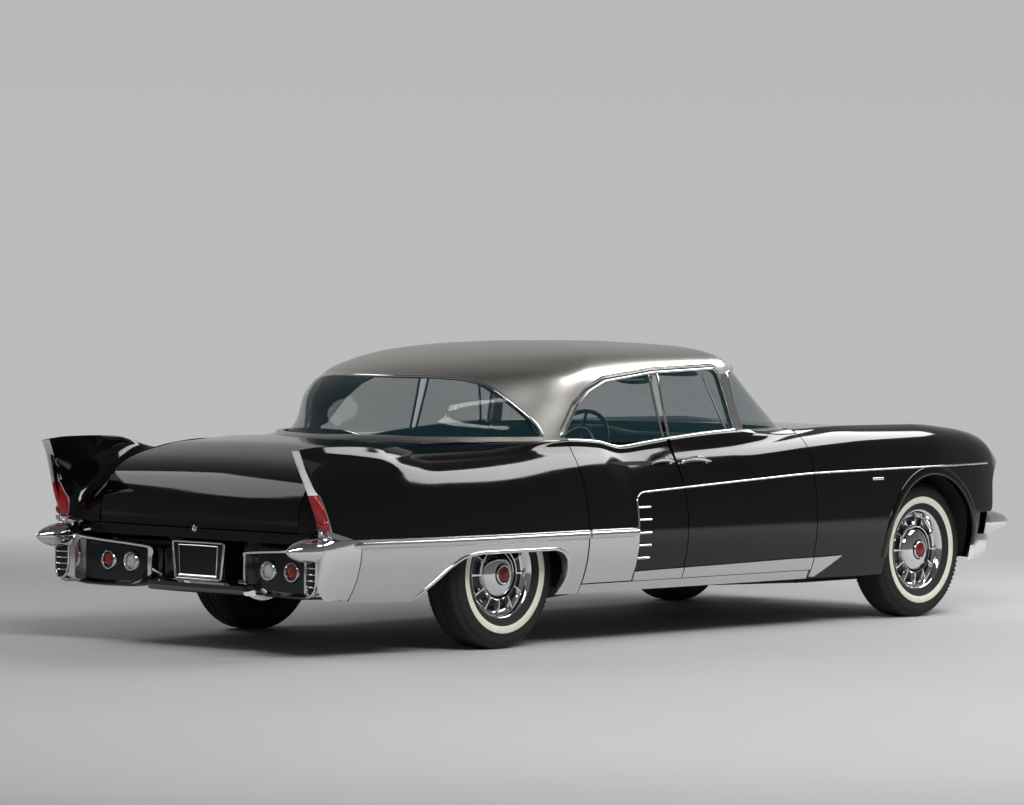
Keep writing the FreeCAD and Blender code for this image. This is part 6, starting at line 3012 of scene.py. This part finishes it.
# ================================================================ studio
@dataclass
class Studio:
    """Floor, lights, world and the camera."""

    eye: tuple = (-16.843, -14.771, 1.667)
    yaw: float = 41.864
    pitch: float = -1.452
    roll: float = 0.634
    lens: float = 158.63
    floor_grey: float = 0.62
    sky: float = 0.50
    dusk: float = 0.17
    reach: float = 90000.0

    def build(self) -> None:
        """Sets up the whole studio."""
        self.camera()
        self.world()
        self.lamp("top_softbox", (6.4, -3.0, 6.2), (6.0, -2.7, 0.0), (9.0, 2.8), 660.0)
        self.lamp("left_softbox", (-4.6, 6.0, 6.0), (-3.0, 2.0, 0.5), (5.0, 2.6), 110.0)
        self.lamp("front_softbox", (-4.5, -6.2, 6.2), (0.0, -0.4, 0.4), (6.5, 1.6), 420.0)
        self.ground()

    def ahead(self) -> Flat:
        """Level direction in which the camera looks."""
        return math.cos(math.radians(self.yaw)), math.sin(math.radians(self.yaw))

    def camera(self) -> None:
        """Places the camera by its heading, tilt and roll."""
        yaw, pitch, roll = (math.radians(v) for v in (self.yaw, self.pitch, self.roll))
        ahead = Vector(
            (math.cos(pitch) * math.cos(yaw), math.cos(pitch) * math.sin(yaw), math.sin(pitch))
        )
        level = Vector((math.sin(yaw), -math.cos(yaw), 0))
        over = level.cross(ahead)
        right = level * math.cos(roll) + over * math.sin(roll)
        up = over * math.cos(roll) - level * math.sin(roll)
        data = bpy.data.cameras.new("camera")
        data.lens = self.lens
        data.sensor_width = 36.0
        data.clip_end = 200.0
        camera = bpy.data.objects.new("camera", data)
        turn = Matrix((right, up, -ahead)).transposed().to_4x4()
        turn.translation = Vector(self.eye)
        camera.matrix_world = turn
        bpy.context.scene.collection.objects.link(camera)
        bpy.context.scene.camera = camera
        bpy.context.scene.view_settings.view_transform = "Standard"

    def world(self) -> None:
        """A plain surround: pale behind the car, darker overhead and behind the camera."""
        world = bpy.data.worlds.new("studio")
        bpy.context.scene.world = world
        world.use_nodes = True
        tree = world.node_tree
        back = tree.nodes["Background"]
        spot = tree.nodes.new("ShaderNodeTexCoord")
        split = tree.nodes.new("ShaderNodeSeparateXYZ")
        tree.links.new(spot.outputs["Object"], split.inputs[0])
        ahead = tree.nodes.new("ShaderNodeVectorMath")
        ahead.operation = "DOT_PRODUCT"
        ahead.inputs[1].default_value = (*self.ahead(), 0.0)
        tree.links.new(spot.outputs["Object"], ahead.inputs[0])
        fades = []
        for source, low, high, start, end in (
            (split.outputs["Z"], 0.02, 0.7, 1.0, 0.45),
            (ahead.outputs["Value"], 0.25, 0.92, self.dusk, self.sky),
        ):
            fade = tree.nodes.new("ShaderNodeMapRange")
            tree.links.new(source, fade.inputs["Value"])
            for name, value in (
                ("From Min", low), ("From Max", high), ("To Min", start), ("To Max", end)
            ):
                fade.inputs[name].default_value = value
            fades.append(fade)
        product = tree.nodes.new("ShaderNodeMath")
        product.operation = "MULTIPLY"
        for k, fade in enumerate(fades):
            tree.links.new(fade.outputs[0], product.inputs[k])
        tree.links.new(product.outputs[0], back.inputs["Strength"])
        back.inputs["Color"].default_value = (1.0, 1.0, 1.0, 1.0)

    def lamp(self, name: str, place: Point, aim: Point, size: Flat, power: float) -> None:
        """Adds one soft rectangular light.

        Args:
            name: its name.
            place: where it stands, in metres.
            aim: the point it faces.
            size: width and height.
            power: power in watts.
        """
        data = bpy.data.lights.new(name, "AREA")
        data.shape = "RECTANGLE"
        data.size, data.size_y = size
        data.energy = power
        light = bpy.data.objects.new(name, data)
        light.location = place
        light.rotation_euler = (Vector(aim) - Vector(place)).to_track_quat("-Z", "Y").to_euler()
        bpy.context.scene.collection.objects.link(light)

    def ground(self) -> None:
        """Lays the pale floor, which meets the surround far from the car."""
        made = Mesher()
        made.rows(
            [[(x, y, 0) for x in (-self.reach, self.reach)] for y in (-self.reach, self.reach)]
        )
        floor = made.build("floor_sheet", [])
        shader = Shader("studio_floor")
        mottle = shader.noise((0.6, 0.6, 0.6), 5)
        tone = shader.mix(mottle, (self.floor_grey * 0.94,) * 3, (self.floor_grey * 1.04,) * 3)
        material = shader.set(Base_Color=tone, Roughness=0.7, Specular_IOR_Level=0.2)
        x, y = shader.axis("X"), shader.axis("Y")
        away = (x * x + y * y) ** 0.5
        c, s = self.ahead()
        facing = (((x * c + y * s) / (away + 0.01) - 0.25) / 0.67).clamped()
        far = ((away - 7.8 + facing * 4.8) / 5.0).clamped()
        glow = shader.tree.nodes.new("ShaderNodeEmission")
        shader.tree.links.new(
            (facing * (self.sky - self.dusk) + self.dusk).socket, glow.inputs["Strength"]
        )
        blend = shader.tree.nodes.new("ShaderNodeMixShader")
        output = next(n for n in shader.tree.nodes if n.type == "OUTPUT_MATERIAL")
        shader.tree.links.new(far.socket, blend.inputs[0])
        shader.tree.links.new(shader.surface.outputs[0], blend.inputs[1])
        shader.tree.links.new(glow.outputs[0], blend.inputs[2])
        shader.tree.links.new(blend.outputs[0], output.inputs["Surface"])
        floor.data.materials.append(material)


def dress_frame(frame: dict) -> None:
    """Gives every carried-over node of the frame its finish.
    """
    finishes = {
        "black_paint": Finish.BLACK, "stainless": Finish.PANEL_STEEL, "chrome": Finish.CHROME,
        "glass_tint": Finish.GLASS,
        "red_lens": Finish.RED_LENS, "clear_lens": Finish.CLEAR_LENS, "tyre_rubber": Finish.TYRE,
        "seat_leather": Finish.HIDE,
        "dash_paint": Finish.DASH, "wheel_rim": Finish.DASH, "frame_paint": Finish.FRAME,
        "cast_block": Finish.BLOCK,
    }
    slots = {part["node"]: part["material_slot"] for part in frame["record"]["subparts"]}
    for name, node in frame["nodes"].items():
        node.data.materials.clear()
        node.data.materials.append(finishes[slots[name]].made())


def main() -> None:
    """Builds the studio and dresses the car."""
    logging.basicConfig(level=logging.INFO, format="%(message)s")
    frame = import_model()
    Studio().build()
    dress_frame(frame)
    form = BodyForm()
    panels = SidePanels(form)
    panels.build()
    Lids().build()
    Glasshouse().build(panels)
    Cabin(form).build()
    for end, x in (("front", FRONT_AXLE), ("rear", REAR_AXLE)):
        for side in SIDES:
            RoadWheel(x, end + "_" + word(side), side).build()
    RearEnd(form).build()
    FrontEnd().build()
    SteelTrim(form, panels).build()


if __name__ == "__main__":
    main()
